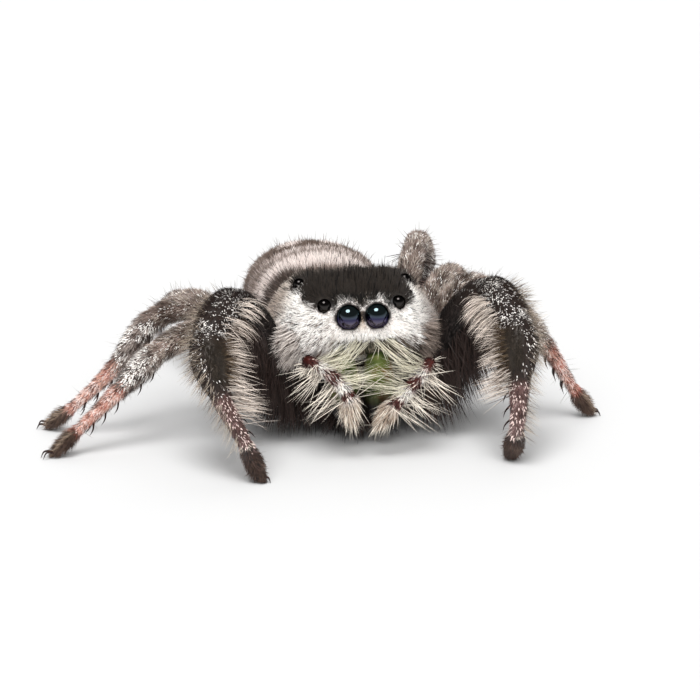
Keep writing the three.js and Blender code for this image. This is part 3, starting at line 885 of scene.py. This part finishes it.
MARKERS = {  # which function marks each kind of form
    "carapace": mark_carapace,
    "abdomen": mark_abdomen,
    "leg": mark_leg,
    "palp": mark_palp,
    "underside": mark_underside,
    "waist": mark_waist,
    "spinneret": mark_spinneret,
}
KINDS = list(MARKERS)


def marks_at(p, site):
    marks = Marks(len(p))
    for kind, marker in MARKERS.items():
        here = site["kind"] == KINDS.index(kind)
        if here.any():
            found = Marks(here.sum())
            marker(found, p[here], {key: value[here] for key, value in site.items()})
            for key, value in vars(found).items():
                getattr(marks, key)[here] = value
    return marks


# ---- The skin ----
VOXEL = 0.073
SKIN_SMOOTHING = 5
SKIN_OVER_FLOOR = 0.02


def fused(forms):
    """One surface around all the forms, as points in millimetres and triangles."""
    body = new_object("forms", make_mesh("forms", *joined([form.mesh() for form in forms])))
    steps = {
        "REMESH": {"mode": "VOXEL", "voxel_size": VOXEL},
        "SMOOTH": {"factor": 0.5, "iterations": SKIN_SMOOTHING},
        "TRIANGULATE": {"quad_method": "SHORTEST_DIAGONAL"},
    }
    for kind, settings in steps.items():
        modifier = body.modifiers.new(kind, kind)
        for key, value in settings.items():
            setattr(modifier, key, value)
    done = bpy.data.meshes.new_from_object(body.evaluated_get(bpy.context.evaluated_depsgraph_get()))
    co = np.empty(len(done.vertices) * 3, np.float32)
    done.vertices.foreach_get("co", co)
    triangles = np.empty(len(done.polygons) * 3, np.int32)
    done.polygons.foreach_get("vertices", triangles)
    bpy.data.objects.remove(body)
    bpy.data.meshes.remove(done)
    return co.reshape(-1, 3).astype(float), triangles.reshape(-1, 3)


def corners(points, faces):
    """Three rows of points, one for each corner of the triangles."""
    return (points[faces[:, k]] for k in range(3))


def point_normals(points, faces):
    a, b, c = corners(points, faces)
    flat = np.cross(b - a, c - a)
    total = np.zeros_like(points)
    for k in range(3):
        for axis in range(3):
            total[:, axis] += np.bincount(faces[:, k], flat[:, axis], len(points))
    return unit(total)


def sites_of(points, forms):
    """For each point: its form, its kind, where it lies on the form, and the lie of the coat there."""
    known = np.vstack([form.rings.reshape(-1, 3) for form in forms])
    tree = KDTree(len(known))
    for index, p in enumerate(known):
        tree.insert(p, index)
    tree.balance()
    nearest = np.array([tree.find(p)[1] for p in points])
    columns = []
    for number, form in enumerate(forms):
        rings, sides = form.rings.shape[:2]
        same = {
            "form": number,
            "kind": KINDS.index(form.kind),
            "pair": int(form.name[1]) if form.kind == "leg" else 0,
            "right": is_right(form.name),
        }
        columns.append({key: np.full(rings * sides, value) for key, value in same.items()} | {
            "share": np.repeat(form.share, sides),
            "along": np.repeat(form.along, sides),
            "around": np.tile(form.around, rings),
            "flow": form.flow.reshape(-1, 3),
        })
    return {key: np.concatenate([column[key] for column in columns])[nearest] for key in columns[0]}


def head_lie(p):
    """The coat sweeps outwards and down over the face, and back over the top of the head and the cheeks."""
    x, y, z = p.T
    from_middle = unit(np.stack([x * 1.3, np.zeros_like(x), z - 4.25 - 0.25 * np.abs(x)], -1))
    back = np.tile((0.0, 1.0, -0.25), (len(p), 1))
    on_face = ramp(-1.9, -2.6, y)
    lie = from_middle * on_face[:, None] + back * (1 - on_face)[:, None]
    for _, middle, radius, _ in EYE_LIST:
        near = ramp(2.1, 1.25, distance(p, middle) / radius)
        lie = blend(lie, unit(p - middle) + (0, 0, 0.15), near * 0.9)
    return lie


def make_skin():
    forms = flesh_forms()
    points, faces = fused(forms)
    normals = point_normals(points, faces)
    site = sites_of(points, forms)
    head = site["kind"] == KINDS.index("carapace")
    site["flow"][head] = head_lie(points[head])
    marks = marks_at(points, site)
    points[:, 2] = np.maximum(points[:, 2], SKIN_OVER_FLOOR)
    material = marked_material("spider_skin", 0.5, 0.05, 0.18, 0.012)
    flesh = [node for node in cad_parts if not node.startswith(("eye_", "chelicera_", "fang_"))]
    add_piece("skin", points, faces, material, flesh, marks.skin)
    return {"points": points, "faces": faces, "normals": normals, "site": site, "density": marks.density}


# ---- Growing hairs ----
PATCH = 0.0015  # half the size of a hair's patch on the unwrap
SUNK = 0.03  # how far a hair's foot is under the skin
FLOOR_CLEARANCE = 0.004
SCALE_LENGTH = 0.115
SCALE_WIDTH = 0.056
SCALE_LIFT = 32
STRAY = 0.025  # how far a hair may take its colour from beside its foot
HAIR_RIDGE = 0.6  # how far a hair's back stands out, as a share of half its width
STRAND_SHADE = 0.26  # how bright a dark strand is beside its neighbours
CLUMP = 0.22  # how large the clumps are in which short hairs turn together
LONG_CLUMP = 0.3
COAT_SPREAD = 12  # how far short hairs turn from the lie of the coat, in degrees
LIFT_SPREAD = 6
LENS_MARGIN = 1.03  # how far hairs stay from the middle of a lens, as a share of its radius
SHORT_HAIR_FOOT = 0.03  # how high over the floor the lowest short hairs start
LONG_HAIR_FOOT = 0.05


def scatter(skin, weights, count, rng):
    """Random places on the skin, as likely as the area and the weights of the points make them."""
    faces, points = skin["faces"], skin["points"]
    a, b, c = corners(points, faces)
    area = distance(np.cross(b - a, c - a))
    odds = area * weights[faces].mean(axis=1)
    chosen = rng.choice(len(faces), count, p=odds / odds.sum())
    u, v = rng.random((2, count))
    over = u + v > 1
    u, v = np.where(over, 1 - u, u), np.where(over, 1 - v, v)
    shares = np.stack([1 - u - v, u, v], -1)[..., None]
    corner = faces[chosen]

    def between(values):
        return (values[corner] * shares).sum(1)

    p, n, flow = between(points), unit(between(skin["normals"])), between(skin["site"]["flow"])
    site = {key: value[corner[:, 0]] for key, value in skin["site"].items()}
    site["flow"] = unit(flow - n * dot(flow, n)[:, None])
    around = skin["site"]["around"]
    turn = between(np.stack([np.cos(around), np.sin(around)], -1))
    site["around"] = np.arctan2(turn[:, 1], turn[:, 0])
    return p, n, site


def clear_of_eyes(p, tip):
    """False for a hair that starts on a lens or lies across one."""
    keep = np.ones(len(p), bool)
    for _, middle, radius, _ in EYE_LIST:
        for share in (0, 0.35, 0.7, 1):
            keep &= distance(p + (tip - p) * share, middle) > radius * LENS_MARGIN
    return keep


def unwrapped(site):
    """Where each hair's foot lies on the unwrap: a strip for each form, around it and along it."""
    strips, row = np.unique(site["form"], return_inverse=True)
    u = (site["around"] / (2 * np.pi) + 0.5) * 0.98 + 0.01
    v = (row + 0.03 + 0.94 * site["along"]) / len(strips)
    return np.stack([u, v], -1)


def grow(p, n, way, end_way, length, width, shaded_foot_colour, tip_colour, spot, segments):
    """Closed three-sided spikes. Each leaves the skin along way and bends evenly towards end_way."""
    side = unit(np.cross(way, n))
    sections = []
    for i in range(segments):
        s = i / segments
        centre = p + length[:, None] * (way * (s - s * s / 2) + end_way * (s * s / 2))
        if i == 0:
            centre -= n * SUNK
        top = np.cross(side, unit(way * (1 - s) + end_way * s))
        half = (width * (1 - 0.75 * s**1.5) / 2)[:, None]
        sections += [centre - side * half, centre + side * half, centre + top * half * HAIR_RIDGE]
    sections.append(p + length[:, None] * (way + end_way) / 2)
    points = np.stack(sections, 1)
    points[..., 2] = np.maximum(points[..., 2], FLOOR_CLEARANCE)

    count, each = points.shape[:2]
    ring = ((0, 1), (1, 2), (2, 0))
    faces = [(0, 2, 1)]
    for low in range(0, each - 4, 3):
        for a, b in ring:
            faces += [(low + a, low + b, low + b + 3), (low + a, low + b + 3, low + a + 3)]
    faces += [(each - 4 + a, each - 4 + b, each - 1) for a, b in ring]
    faces = (np.array(faces)[None] + (np.arange(count) * each)[:, None, None]).reshape(-1, 3)

    # Foot to tip is 0 to 1 in colour and -1 to 1 on the hair's patch of the unwrap, which narrows upwards.
    tone = np.repeat(np.arange(segments) / segments, 3)
    across = np.append(np.tile([-1.0, 1.0, 0.0], segments) * (1 - 0.5 * tone), 0)
    lengthwise = np.append(tone + np.tile([0, 0, 0.12], segments), 1) * 2 - 1
    tone = np.broadcast_to(np.append(tone, 1.0), (count, each))
    # The colour runs from the foot's painted shade to the tip's own colour.
    colours = blend(shaded_foot_colour[:, None, :], tip_colour[:, None, :], tone)
    spots = spot[:, None, :] + np.stack([across, lengthwise], -1)[None] * PATCH
    return points.reshape(-1, 3), faces, colours.reshape(-1, 3), np.clip(spots, 0, 1).reshape(-1, 2)


def tilted(p, n, flow, lift, rng):
    """How a hair leaves the skin: along the flow, lifted by degrees, and turned in clumps and at random."""
    clumped = (noise(p, CLUMP, 61) - 0.5) * 2.4 * COAT_SPREAD
    turn = np.radians(rng.normal(0, COAT_SPREAD, len(n)) + clumped)[:, None]
    level = flow * np.cos(turn) + np.cross(n, flow) * np.sin(turn)
    rise = np.radians(np.clip(lift + rng.normal(0, LIFT_SPREAD, len(n)), 3, 88))[:, None]
    return unit(level * np.cos(rise) + n * np.sin(rise))


def plant(name, material, site, keep, hairs, segments):
    """One piece of all the hairs that are kept."""
    points, faces, colours, spots = grow(*(v[keep] for v in (*hairs, unwrapped(site))), segments)
    add_piece(name, points, faces, material, colours=colours, spots=spots)


def short_coat(name, skin, rng, material, slot, where, count):
    """The short coat of one region: hairs in the markings' colours, with pale scales among them."""
    p, n, site = scatter(skin, skin["density"] * where, count, rng)
    stray = STRAY * np.where(rng.random(count) < 0.3, 3, 1)[:, None]
    marks = marks_at(p + rng.normal(0, 1, p.shape) * stray, site)
    scale = rng.random(count) < marks.fleck
    length = marks.length * rng.uniform(0.7, 1.25, count)
    width = marks.width * rng.uniform(0.8, 1.25, count)
    length = np.where(scale, SCALE_LENGTH * rng.uniform(0.8, 1.2, count), length)
    width = np.where(scale, SCALE_WIDTH * rng.uniform(0.65, 1.3, count), width)
    way = tilted(p, n, site["flow"], np.where(scale, SCALE_LIFT, marks.lift), rng)
    end = unit(way + site["flow"] * 0.5)
    strand = rng.random(count) < marks.strand
    shade = np.where(strand, STRAND_SHADE, rng.uniform(0.88, 1.06, count))[:, None]
    colour = np.where(scale[:, None], marks.fleck_colour, marks.hair * shade)
    # Each hair is darker at its foot: painted shade deep in the coat.
    foot = colour * (0.72 + 0.26 * colour.mean(axis=1, keepdims=True))
    keep = clear_of_eyes(p, p + way * length[:, None]) & (p[:, 2] > SHORT_HAIR_FOOT)
    plant(name, material, site, keep, (p, n, way, end, length, width, foot, colour), 1)


def long_coat(
    skin, rng, material, slot, name, weights, count,
    length, width, colour, out, lie, toward, spread=0.16, bend=(0, 0, 0), dark_share=0, segments=3,
):
    """Long bent hairs where the weights are, cut short over the floor.

    Their heading is out times the skin's normal, lie times the lie of the coat, and the way toward, turned at
    random and in clumps by the spread. The bend is added towards the tips. A dark_share of them is brown.
    """
    p, n, site = scatter(skin, weights, count, rng)
    clumped = np.stack([noise(p, LONG_CLUMP, 70 + axis) - 0.5 for axis in range(3)], -1)
    way = unit(
        n * out + site["flow"] * lie + np.asarray(toward, float)
        + rng.normal(0, spread, (count, 3)) + clumped * spread * 2.5
    )
    way = unit(way - n * np.minimum(dot(way, n) - 0.1, 0)[:, None])
    end = unit(way + np.asarray(bend, float))
    length = length * rng.uniform(0.45, 1.12, count)
    drop = np.maximum(-(way + end)[:, 2] / 2, 0.01)
    length = np.minimum(length, 0.97 * p[:, 2] / drop)
    colour = np.tile(colour, (count, 1)) * rng.uniform(0.8, 1.08, count)[:, None]
    colour[rng.random(count) < dark_share] = BROWN
    keep = clear_of_eyes(p, p + (way + end) / 2 * length[:, None]) & (p[:, 2] > LONG_HAIR_FOOT)
    # The foot of each hair is darker: painted shade deep in the coat.
    hairs = (p, n, way, end, length, np.full(count, width), colour * 0.82, colour)
    plant(name, material, site, keep, hairs, segments)


# ---- Where the hairs grow ----
def region(skin, *kinds):
    return np.isin(skin["site"]["kind"], [KINDS.index(kind) for kind in kinds]).astype(float)


def on_side(skin, sign):
    return skin["site"]["right"] == (sign < 0)


def stretch(skin, low, high, ease=0.03):
    """1 from low to high along a limb, easing to 0 beyond."""
    share = skin["site"]["share"]
    return ramp(low - ease, low + ease, share) * ramp(high + ease, high - ease, share)


def make_short_coats(skin, material):
    coat = partial(short_coat, skin=skin, rng=np.random.default_rng(7), material=material)
    _, y, z = skin["points"].T
    pair = skin["site"]["pair"]
    head, abdomen, legs = (region(skin, kind) for kind in ("carapace", "abdomen", "leg"))
    capped = cap_share(skin["points"]) >= 0.5
    coat("coat_face", slot="pale_coat", where=head * ((y < -0.9) & ~capped), count=30000)
    coat("coat_cap", slot="pale_coat", where=head * capped, count=15000)
    coat("coat_thorax", slot="pale_coat", where=head * ((y >= -0.9) & ~capped), count=14000)
    coat("coat_abdomen_top", slot="pale_coat", where=abdomen * (z > 1.9), count=24000)
    coat("coat_abdomen_under", slot="pale_coat", where=abdomen * (z <= 1.9), count=15000)
    for side, sign in SIDES:
        first_leg = legs * (pair == 1) * on_side(skin, sign)
        coat(f"coat_leg_{side}1", slot="dark_coat", where=first_leg, count=22000)
    for number, count in ((2, 28000), (3, 26000), (4, 28000)):
        coat(f"coat_legs_{number}", slot="shank", where=legs * (pair == number), count=count)
    coat("coat_palps", slot="pale_coat", where=region(skin, "palp"), count=14000)
    below = region(skin, "underside", "waist", "spinneret")
    coat("coat_underside", slot="dark_coat", where=below, count=9000)


FIRST_LEGS = {
    # how far the fringe is turned round the leg, how many hairs it has at the knee and on the shank, where it
    # ends on the shank and how gently, and how long the dark mane is, hair that is also painted shade under
    # the thigh
    "r": (0, 125, 180, 0.68, 0.08, 1.4),
    "l": (24, 280, 150, 0.64, 0.04, 1.8),
}


def dress_first_legs(skin, pale, dark):
    """A cream fringe on the inner side, short fine hairs on the outer one and a dark mane under the thigh,
    which is also painted shade.
    """
    normals, site = skin["normals"], skin["site"]
    for side, sign in SIDES:
        turned, knee_count, shank_count, shank_end, shank_ease, shading_mane_length = FIRST_LEGS[side]
        leg = region(skin, "leg") * (site["pair"] == 1) * on_side(skin, sign)
        theta = np.degrees(site["around"]) - turned
        inner = ramp(66, 82, theta) * ramp(150, 130, theta)
        broad_inner = ramp(-0.1, 0.4, -sign * normals[:, 0]) * ramp(60, 84, theta)
        outer = ramp(0.2, 0.7, sign * normals[:, 0])
        inward = np.array([-sign * 0.8, -0.1, -0.1])
        fringe = partial(pale, colour=FRINGE, out=0.5, lie=0.25, toward=inward)
        fringe(
            f"fringe_{side}1_knee", leg * inner * stretch(skin, 0.2, 0.39), knee_count,
            length=0.95, width=0.022, dark_share=0.22, bend=(0, 0, -1.1), spread=0.25,
        )
        fringe(
            f"fringe_{side}1_shin", leg * inner * ramp(84, 92, theta) * stretch(skin, 0.42, 0.57), 150,
            length=0.8, width=0.02, dark_share=0.15, bend=(0, 0, -0.2), spread=0.2,
        )
        shank = leg * broad_inner * stretch(skin, 0.59, shank_end, shank_ease)
        fringe(
            f"fringe_{side}1_shank", shank, shank_count,
            length=1.15, width=0.019, dark_share=0.24, bend=(0, 0, -0.15), spread=0.2,
        )
        dark(
            f"down_{side}1_shin", leg * broad_inner * stretch(skin, 0.43, 0.58), 560,
            length=0.36, width=0.017, colour=(0.46, 0.39, 0.31), dark_share=0.3,
            out=1.0, lie=0.3, toward=inward * 0.6, segments=2,
        )
        pale(
            f"edge_{side}1", leg * outer * stretch(skin, 0.25, 0.8), 900, length=0.62, width=0.014,
            colour=(0.78, 0.72, 0.65), dark_share=0.2, out=0.9, lie=0.4, toward=(0, 0, -0.15), segments=2,
        )
        # The dark mane is real hair made long and dense enough to be painted shade under the thigh as well.
        dark(
            f"mane_{side}1", leg * stretch(skin, -0.1, 0.19) * ramp(0.1, -0.4, normals[:, 2]), 1400,
            length=shading_mane_length, width=0.034, colour=DARK, out=0.3, lie=0.15, toward=(0, -0.1, -1.1),
        )


def dress_palps(skin, pale):
    """Long cream hairs that fan out on every side below the knee, and a thin veil over the jaws."""
    normals = skin["normals"]
    aside = ramp(0.95, 0.5, -normals[:, 1]) * ramp(0.75, 0.0, normals[:, 2])
    spray = partial(pale, width=0.02, colour=CREAM, dark_share=0.12, out=0.75, lie=0.45)
    for side, sign in SIDES:
        here = region(skin, "palp") * (1 - 0.85 * palp_patches(skin["site"]["share"])) * on_side(skin, sign)
        over_jaw = ramp(0.1, 0.5, normals @ unit(np.array([-sign * 1.0, 0, 0.5])))
        spray(
            f"palp_{side}_fan", here * stretch(skin, 0.36, 0.84) * (0.05 + aside), 120,
            length=1.35, width=0.021, toward=(sign * 0.9, -0.15, -0.3), spread=0.3,
        )
        spray(
            f"palp_{side}_tip", here * stretch(skin, 0.8, 1.1), 150,
            length=0.6, out=0.45, lie=0.8, toward=(0, -0.1, -0.2), spread=0.14,
        )
        spray(
            f"palp_{side}_veil", here * stretch(skin, 0.28, 0.76) * over_jaw, 165,
            length=1.2, width=0.015, colour=VEIL, toward=(-sign * 0.9, -0.3, 0.28), spread=0.34,
        )
        spray(
            f"palp_{side}_knee", here * stretch(skin, 0.16, 0.4) * (0.08 + aside), 110,
            length=0.5, toward=(sign * 0.15, -0.1, -0.15), bend=(0, 0, -0.5), spread=0.2,
        )


def dress_face_edge(skin, pale):
    """The lower edge of the face: two bundles that part over the jaws."""
    x, y, z = skin["points"].T
    parting = 0.28
    from_parting = np.abs(x - parting)
    edge = region(skin, "carapace") * ramp(-2.3, -2.5, y) * ramp(3.52, 3.44, z) * ramp(3.22, 3.32, z)
    for side, sign in SIDES:
        here = edge * ramp(-0.12, 0.05, sign * (x - parting))
        hang = partial(pale, out=0.3, lie=0.0, toward=(sign * 0.8, -0.12, -0.62))
        hang(
            f"clypeus_{side}_middle", here * ramp(0.75, 0.5, from_parting), 36,
            length=1.7, width=0.018, colour=VEIL, dark_share=0.2, spread=0.07,
        )
        hang(
            f"clypeus_{side}_outer", here * ramp(0.5, 0.7, from_parting) * ramp(1.7, 1.5, np.abs(x)), 60,
            length=0.5, width=0.015, colour=WHITE, dark_share=0.4, spread=0.2,
        )
    pale(
        "clypeus_apex", edge * ramp(0.4, 0.2, from_parting), 7,
        length=0.7, width=0.017, colour=VEIL, out=0.35, lie=0.0, toward=(0, -0.1, -0.8), spread=0.3,
    )


def dress_body(skin, dark):
    """Dark hairs that hang under the body and the thighs, partly hair and partly painted shade there, and
    sparse bristles over the whole animal.
    """
    legs, head = region(skin, "leg"), region(skin, "carapace")
    facing_up = skin["normals"][:, 2]
    # These long dark hairs are partly real hair and partly painted shade that darkens the space under the
    # body.
    dark(
        "fringe_thighs", legs * stretch(skin, -0.1, 0.19) * ramp(0.2, -0.3, facing_up), 3600,
        length=0.95, width=0.03, colour=DARK, out=0.7, lie=0.3, toward=(0, 0, -0.6),
    )
    dark(
        "fringe_belly", region(skin, "underside") * ramp(0.3, -0.3, facing_up), 4600,
        length=1.25, width=0.036, colour=DARK, out=0.6, lie=0.1, toward=(0, -0.25, -0.6),
    )
    dark(
        "bristles_cap", head * cap_share(skin["points"]), 240,
        length=0.62, width=0.018, colour=BLACK, out=1.0, lie=0.2, toward=(0, -0.1, 0.5),
    )
    dark(
        "bristles_legs", legs * stretch(skin, 0.05, 0.85), 1900, length=0.5, width=0.013,
        colour=GREY, dark_share=0.35, out=1.0, lie=0.45, toward=(0, 0, 0), spread=0.2,
    )
    back = region(skin, "abdomen") + head * ramp(-1.2, 0.2, skin["points"][:, 1])
    dark(
        "bristles_body", back, 1300,
        length=0.55, width=0.014, colour=(0.42, 0.36, 0.33), out=1.0, lie=0.7, toward=(0, 0, 0), spread=0.2,
    )


def dress_cheeks(skin, pale):
    """Longer hairs that stand out low on the sides of the head, pale on the right and grey as painted shade
    on the left.
    """
    x, y, z = skin["points"].T
    # The left side's grey hair colour is painted shade; the right side's is the hairs' own pale colour.
    for (side, sign), length, colour in zip(SIDES, (0.66, 0.45), ((0.88, 0.84, 0.81), (0.62, 0.56, 0.52))):
        low_cheek = region(skin, "carapace") * ramp(1.7, 2.0, sign * x) * ramp(-0.9, -1.4, y)
        low_cheek = low_cheek * ramp(2.45, 2.7, z) * ramp(3.8, 3.3, z)
        pale(
            f"cheek_{side}", low_cheek, 800, length=length, width=0.024, colour=colour,
            dark_share=0.14, out=0.7, lie=0.1, toward=(sign * 0.6, -0.5, -0.5), spread=0.19,
        )


def make_long_coats(skin, material):
    rng = np.random.default_rng(11)
    pale, dark = (partial(long_coat, skin, rng, material, slot) for slot in ("pale_coat", "dark_coat"))
    dress_first_legs(skin, pale, dark)
    # A soft brush at the tip of every leg, round the claws.
    dark(
        "foot_brushes", region(skin, "leg") * stretch(skin, 0.9, 1.1), 2400,
        length=0.22, width=0.024, colour=(0.34, 0.27, 0.24), dark_share=0.3,
        out=0.5, lie=0.7, toward=(0, 0, -0.1), spread=0.25, segments=2,
    )
    dress_palps(skin, pale)
    dress_face_edge(skin, pale)
    dress_body(skin, dark)
    dress_cheeks(skin, pale)


# ---- Spines and claws ----
SPINE_PLACES = (0.47, 0.54, 0.645, 0.7, 0.755)
SPINE = {"length": 0.5, "girth": 0.032, "bow": 0.06}
CLAW = {"length": 0.4, "girth": 0.042, "rise": 0.07, "drop": 0.13}


def horn_shape(joints, radius, rings, sides=14):
    """A curved horn tapering to a point."""
    t = np.linspace(0, 1, rings)
    tangent = tangents(joints, t)
    side = unit(np.cross(tangent, (0.31, 0.2, 0.93)))
    angle = np.linspace(0, 2 * np.pi, sides, endpoint=False)
    girth = radius * np.maximum(1 - t**1.6, 0.03)
    walls = spokes(angle, side, np.cross(side, tangent)) * girth[:, None, None]
    return Form("horn", "horn", curve(joints, t)[:, None] + walls, angle, (0, 0, 1.0)).mesh()


def make_points(horn):
    """Paired spines under the shins and shanks, and two claws on every foot."""
    spines, claws = [], []
    for name in LEG_POSES:
        for t in SPINE_PLACES:
            centre, tangent, dorsal, front = frame_on_leg(name, t)
            radius = smooth_through(leg_girths(name), np.array([t]))[0] - DEPTH["leg"]
            for side in (-1, 1):
                out = unit(-dorsal * 0.85 + front * side * 0.5)
                start = centre + out * radius * 0.8
                end = start + (out * 0.45 + tangent * 0.85) * SPINE["length"]
                bow = (start + end) / 2 + out * SPINE["bow"]
                spines.append(horn_shape([start, bow, end], SPINE["girth"], 8, 8))
        centre, tangent, dorsal, front = frame_on_leg(name, 1.0)
        ahead = unit(tangent * (1, 1, 0.2)) * ramp(-0.1, 0.8, math.hypot(tangent[0], tangent[1]))
        for side in (-1, 1):
            start = centre + front * side * 0.07 + dorsal * 0.03 + tangent * 0.08
            bow = start + ahead * 0.27 + (0, 0, CLAW["rise"]) + front * side * 0.03
            end = start + ahead * CLAW["length"] + front * side * 0.04 - (0, 0, CLAW["drop"])
            claws.append(horn_shape([start, bow, end], CLAW["girth"], 12, 8))
    for name, shapes in (("leg_spines", spines), ("claws", claws)):
        points, faces = joined(shapes)
        points[:, 2] = np.maximum(points[:, 2], FLOOR_CLEARANCE)
        add_piece(name, points, faces, horn)


# ---- Eyes ----
def glass(name):
    """A dark mirror whose edge stays dark, as a lens over a black cup does."""
    return new_material(name, 0.05, Metallic=1.0, Specular_Tint=(0.08, 0.08, 0.08, 1))


def make_eyes():
    """The big lenses shine teal above and violet below, a painted reflection tinted by which way each part
    faces; the small ones are black.
    """
    reflection_tinted_lens, tree, shade = glass("eye_lens")
    height = upward(tree, add_node(tree, "NewGeometry").outputs["Normal"])
    # Teal where the lens faces up and violet where it faces down: painted reflection of the dim sky and the
    # floor.
    stops = ((0.3, (0.42, 0.40, 0.47)), (0.49, (0.22, 0.21, 0.32)), (0.71, (0.32, 0.375, 0.385)))
    shade(Base_Color=tinted(tree, rescaled(tree, height, -1, 1), stops))
    black, _, shade = glass("small_lens")
    shade(Base_Color=opaque((0.21, 0.20, 0.195)))
    for name, middle, radius, _ in EYE_LIST:
        points, faces = egg(name, "eye", middle, (radius,) * 3, rings=40, sides=64).mesh()
        look = reflection_tinted_lens if name.startswith("front_middle") else black
        add_piece("lens_" + name, points, faces, look, ["eye_" + name])


# ---- Jaws and fangs ----
JAW_RIDGES = 0.012  # how high the fine cross ridges of a jaw stand, as a share of its size


def jaw_shell():
    """A dark shell, mottled green, yellow and red-brown in its upper part."""
    material, tree, shade = new_material("jaw_shell", 0.32, Metallic=0.55)
    stops = ((0.3, (0.12, 0.19, 0.09)), (0.5, (0.40, 0.45, 0.23)), (0.72, (0.45, 0.26, 0.15)))
    mottled = tinted(tree, grain(tree, 0.45, 2), stops)
    height = rescaled(tree, upward(tree, place_of(tree)), 1.3 * MM, 2.3 * MM)
    fade = add_node(tree, "Mix", data_type="RGBA", Factor=height)
    below, above = (socket for socket in fade.inputs if socket.type == "RGBA")
    below.default_value = opaque((0.08, 0.06, 0.06))
    tree.links.new(mottled, above)
    (colour,) = (socket for socket in fade.outputs if socket.type == "RGBA")
    shade(Base_Color=colour, Normal=bumped(tree, grain(tree, 0.05), 0.5, 0.01))
    return material


def horn_material():
    material, tree, shade = new_material("horn", 0.2)
    brown = add_node(tree, "RGB").outputs["Color"]
    brown.default_value = opaque((0.16, 0.06, 0.04))
    shade(Base_Color=varied(tree, brown, grain(tree, 0.1), 0.3))
    return material


def make_jaws(horn):
    shell = jaw_shell()
    lean = rotation("x", -JAW["lean"])
    upright = np.array([(1, 0, 0), (0, 0, -1), (0, 1, 0)])
    (x, y, z), (wide, deep, high) = JAW["middle"], JAW["half"]
    for side, sign in SIDES:
        jaw = egg(side, "jaw", (0, 0, 0), (wide, high, deep), upright, rings=60, sides=48)
        ridge = 1 + JAW_RIDGES * np.sin(jaw.rings[..., 2] * 26 + 2 * np.sin(jaw.rings[..., 0] * 5))
        rings = jaw.rings @ lean.T * ridge[..., None] + (sign * x, y, z)
        points, faces = Form(side, "jaw", rings, jaw.around, (0, 0, -1.0)).mesh()
        add_piece("jaw_" + side, points, faces, shell, ["chelicera_" + side])
        start, end, bow = (np.array(FANG[key]) * (sign, 1, 1) for key in ("start", "end", "bow"))
        points, faces = horn_shape([start, (start + end) / 2 + bow, end], FANG["thick"], 24)
        add_piece("fang_" + side + "_horn", points, faces, horn, ["fang_" + side])


# ---- Stage: floor, lights, world and camera ----
CAMERA_TURN = -10
CAMERA_RISE = 17
CAMERA_DISTANCE = 150
CAMERA_TARGET = (-0.33, -2.5, 3.0)
VIEW_WIDTH = 21
SENSOR = 36
SKY_STRENGTH = 0.42
FLOOR_REACH = 3.0
FLOOR_WHITE = 0.92
FLOOR_SEEN = 0.5  # how pale the floor is to the camera, so that where it is fully lit it is just white


def direction(turn, rise):
    """The way to a place turned by degrees from straight ahead of the animal and raised above the floor."""
    turn, rise = math.radians(turn), math.radians(rise)
    return Vector((math.sin(turn) * math.cos(rise), -math.cos(turn) * math.cos(rise), math.sin(rise)))


def make_camera():
    back = direction(CAMERA_TURN, CAMERA_RISE)
    camera = new_object("camera", bpy.data.cameras.new("camera"))
    camera.location = Vector(to_row(CAMERA_TARGET)) + back * CAMERA_DISTANCE * MM
    camera.rotation_euler = back.to_track_quat("Z", "Y").to_euler()
    camera.data.sensor_width = SENSOR
    camera.data.lens = SENSOR * CAMERA_DISTANCE / VIEW_WIDTH
    camera.data.clip_start = 0.001
    camera.data.clip_end = 10
    bpy.context.scene.camera = camera


def seen_directly(tree):
    """1 for what the camera sees itself, or in a glossy or clear surface, and 0 for what only gives light."""
    path = add_node(tree, "LightPath")
    direct = path.outputs["Is Camera Ray"]
    for ray in ("Is Glossy Ray", "Is Transmission Ray"):
        either = add_node(tree, "Math", operation="MAXIMUM")
        tree.links.new(direct, either.inputs[0])
        tree.links.new(path.outputs[ray], either.inputs[1])
        direct = either.outputs["Value"]
    return direct


def make_floor():
    """A white floor. The camera sees it a little darker than it is, so that its shadows keep their depth."""
    material, tree, shade = new_material("floor", 0.9, 0.1)
    shade(Base_Color=rescaled(tree, seen_directly(tree), 0, 1, FLOOR_WHITE, FLOOR_SEEN))
    outline = np.array([(-1, -1, 0), (1, -1, 0), (1, 1, 0), (-1, 1, 0)]) * FLOOR_REACH
    mesh = make_mesh("floor", outline, np.array([[0, 1, 2, 3]]))
    mesh.materials.append(material)
    new_object("floor", mesh)


def add_lamp(name, aside, height, strength, spread):
    """A far soft light that shines from that many degrees aside and above the floor."""
    light = bpy.data.lights.new(name, "SUN")
    light.energy = strength
    light.angle = math.radians(spread)
    lamp = new_object(name, light)
    lamp.rotation_euler = direction(aside, height).to_track_quat("Z", "Y").to_euler()
    return lamp


def make_light():
    """A bright round light nearly overhead, broad ones in front and behind, and a plain pale sky.

    The broad ones have no glint. What the camera and the glossy lenses see of the sky is white low down and
    dim overhead.
    """
    add_lamp("key", -36, 75, 2.2, 32)
    for name, aside, height, strength in (("front", -12, 48, 3.3), ("back", 165, 45, 0.8)):
        add_lamp(name, aside, height, strength, 56).visible_glossy = False
    world = bpy.data.worlds.new("studio")
    world.use_nodes = True
    bpy.context.scene.world = world
    tree = world.node_tree
    seen = rescaled(tree, upward(tree, place_of(tree, "Generated")), 0.05, 0.38, 1.0, 0.1)
    choice = add_node(tree, "Mix", data_type="FLOAT", Factor=seen_directly(tree), A=SKY_STRENGTH, B=seen)
    feed(tree, tree.nodes["Background"], Color=(1, 1, 1, 1), Strength=choice.outputs["Result"])


# ---- Assembly ----
make_camera()
make_floor()
make_light()
skin = make_skin()
make_eyes()
horn = horn_material()
make_jaws(horn)
coat = marked_material("coat_hair", 0.55, 0.4, 0.06, specular=0.3)
make_short_coats(skin, coat)
make_long_coats(skin, coat)
make_points(horn)
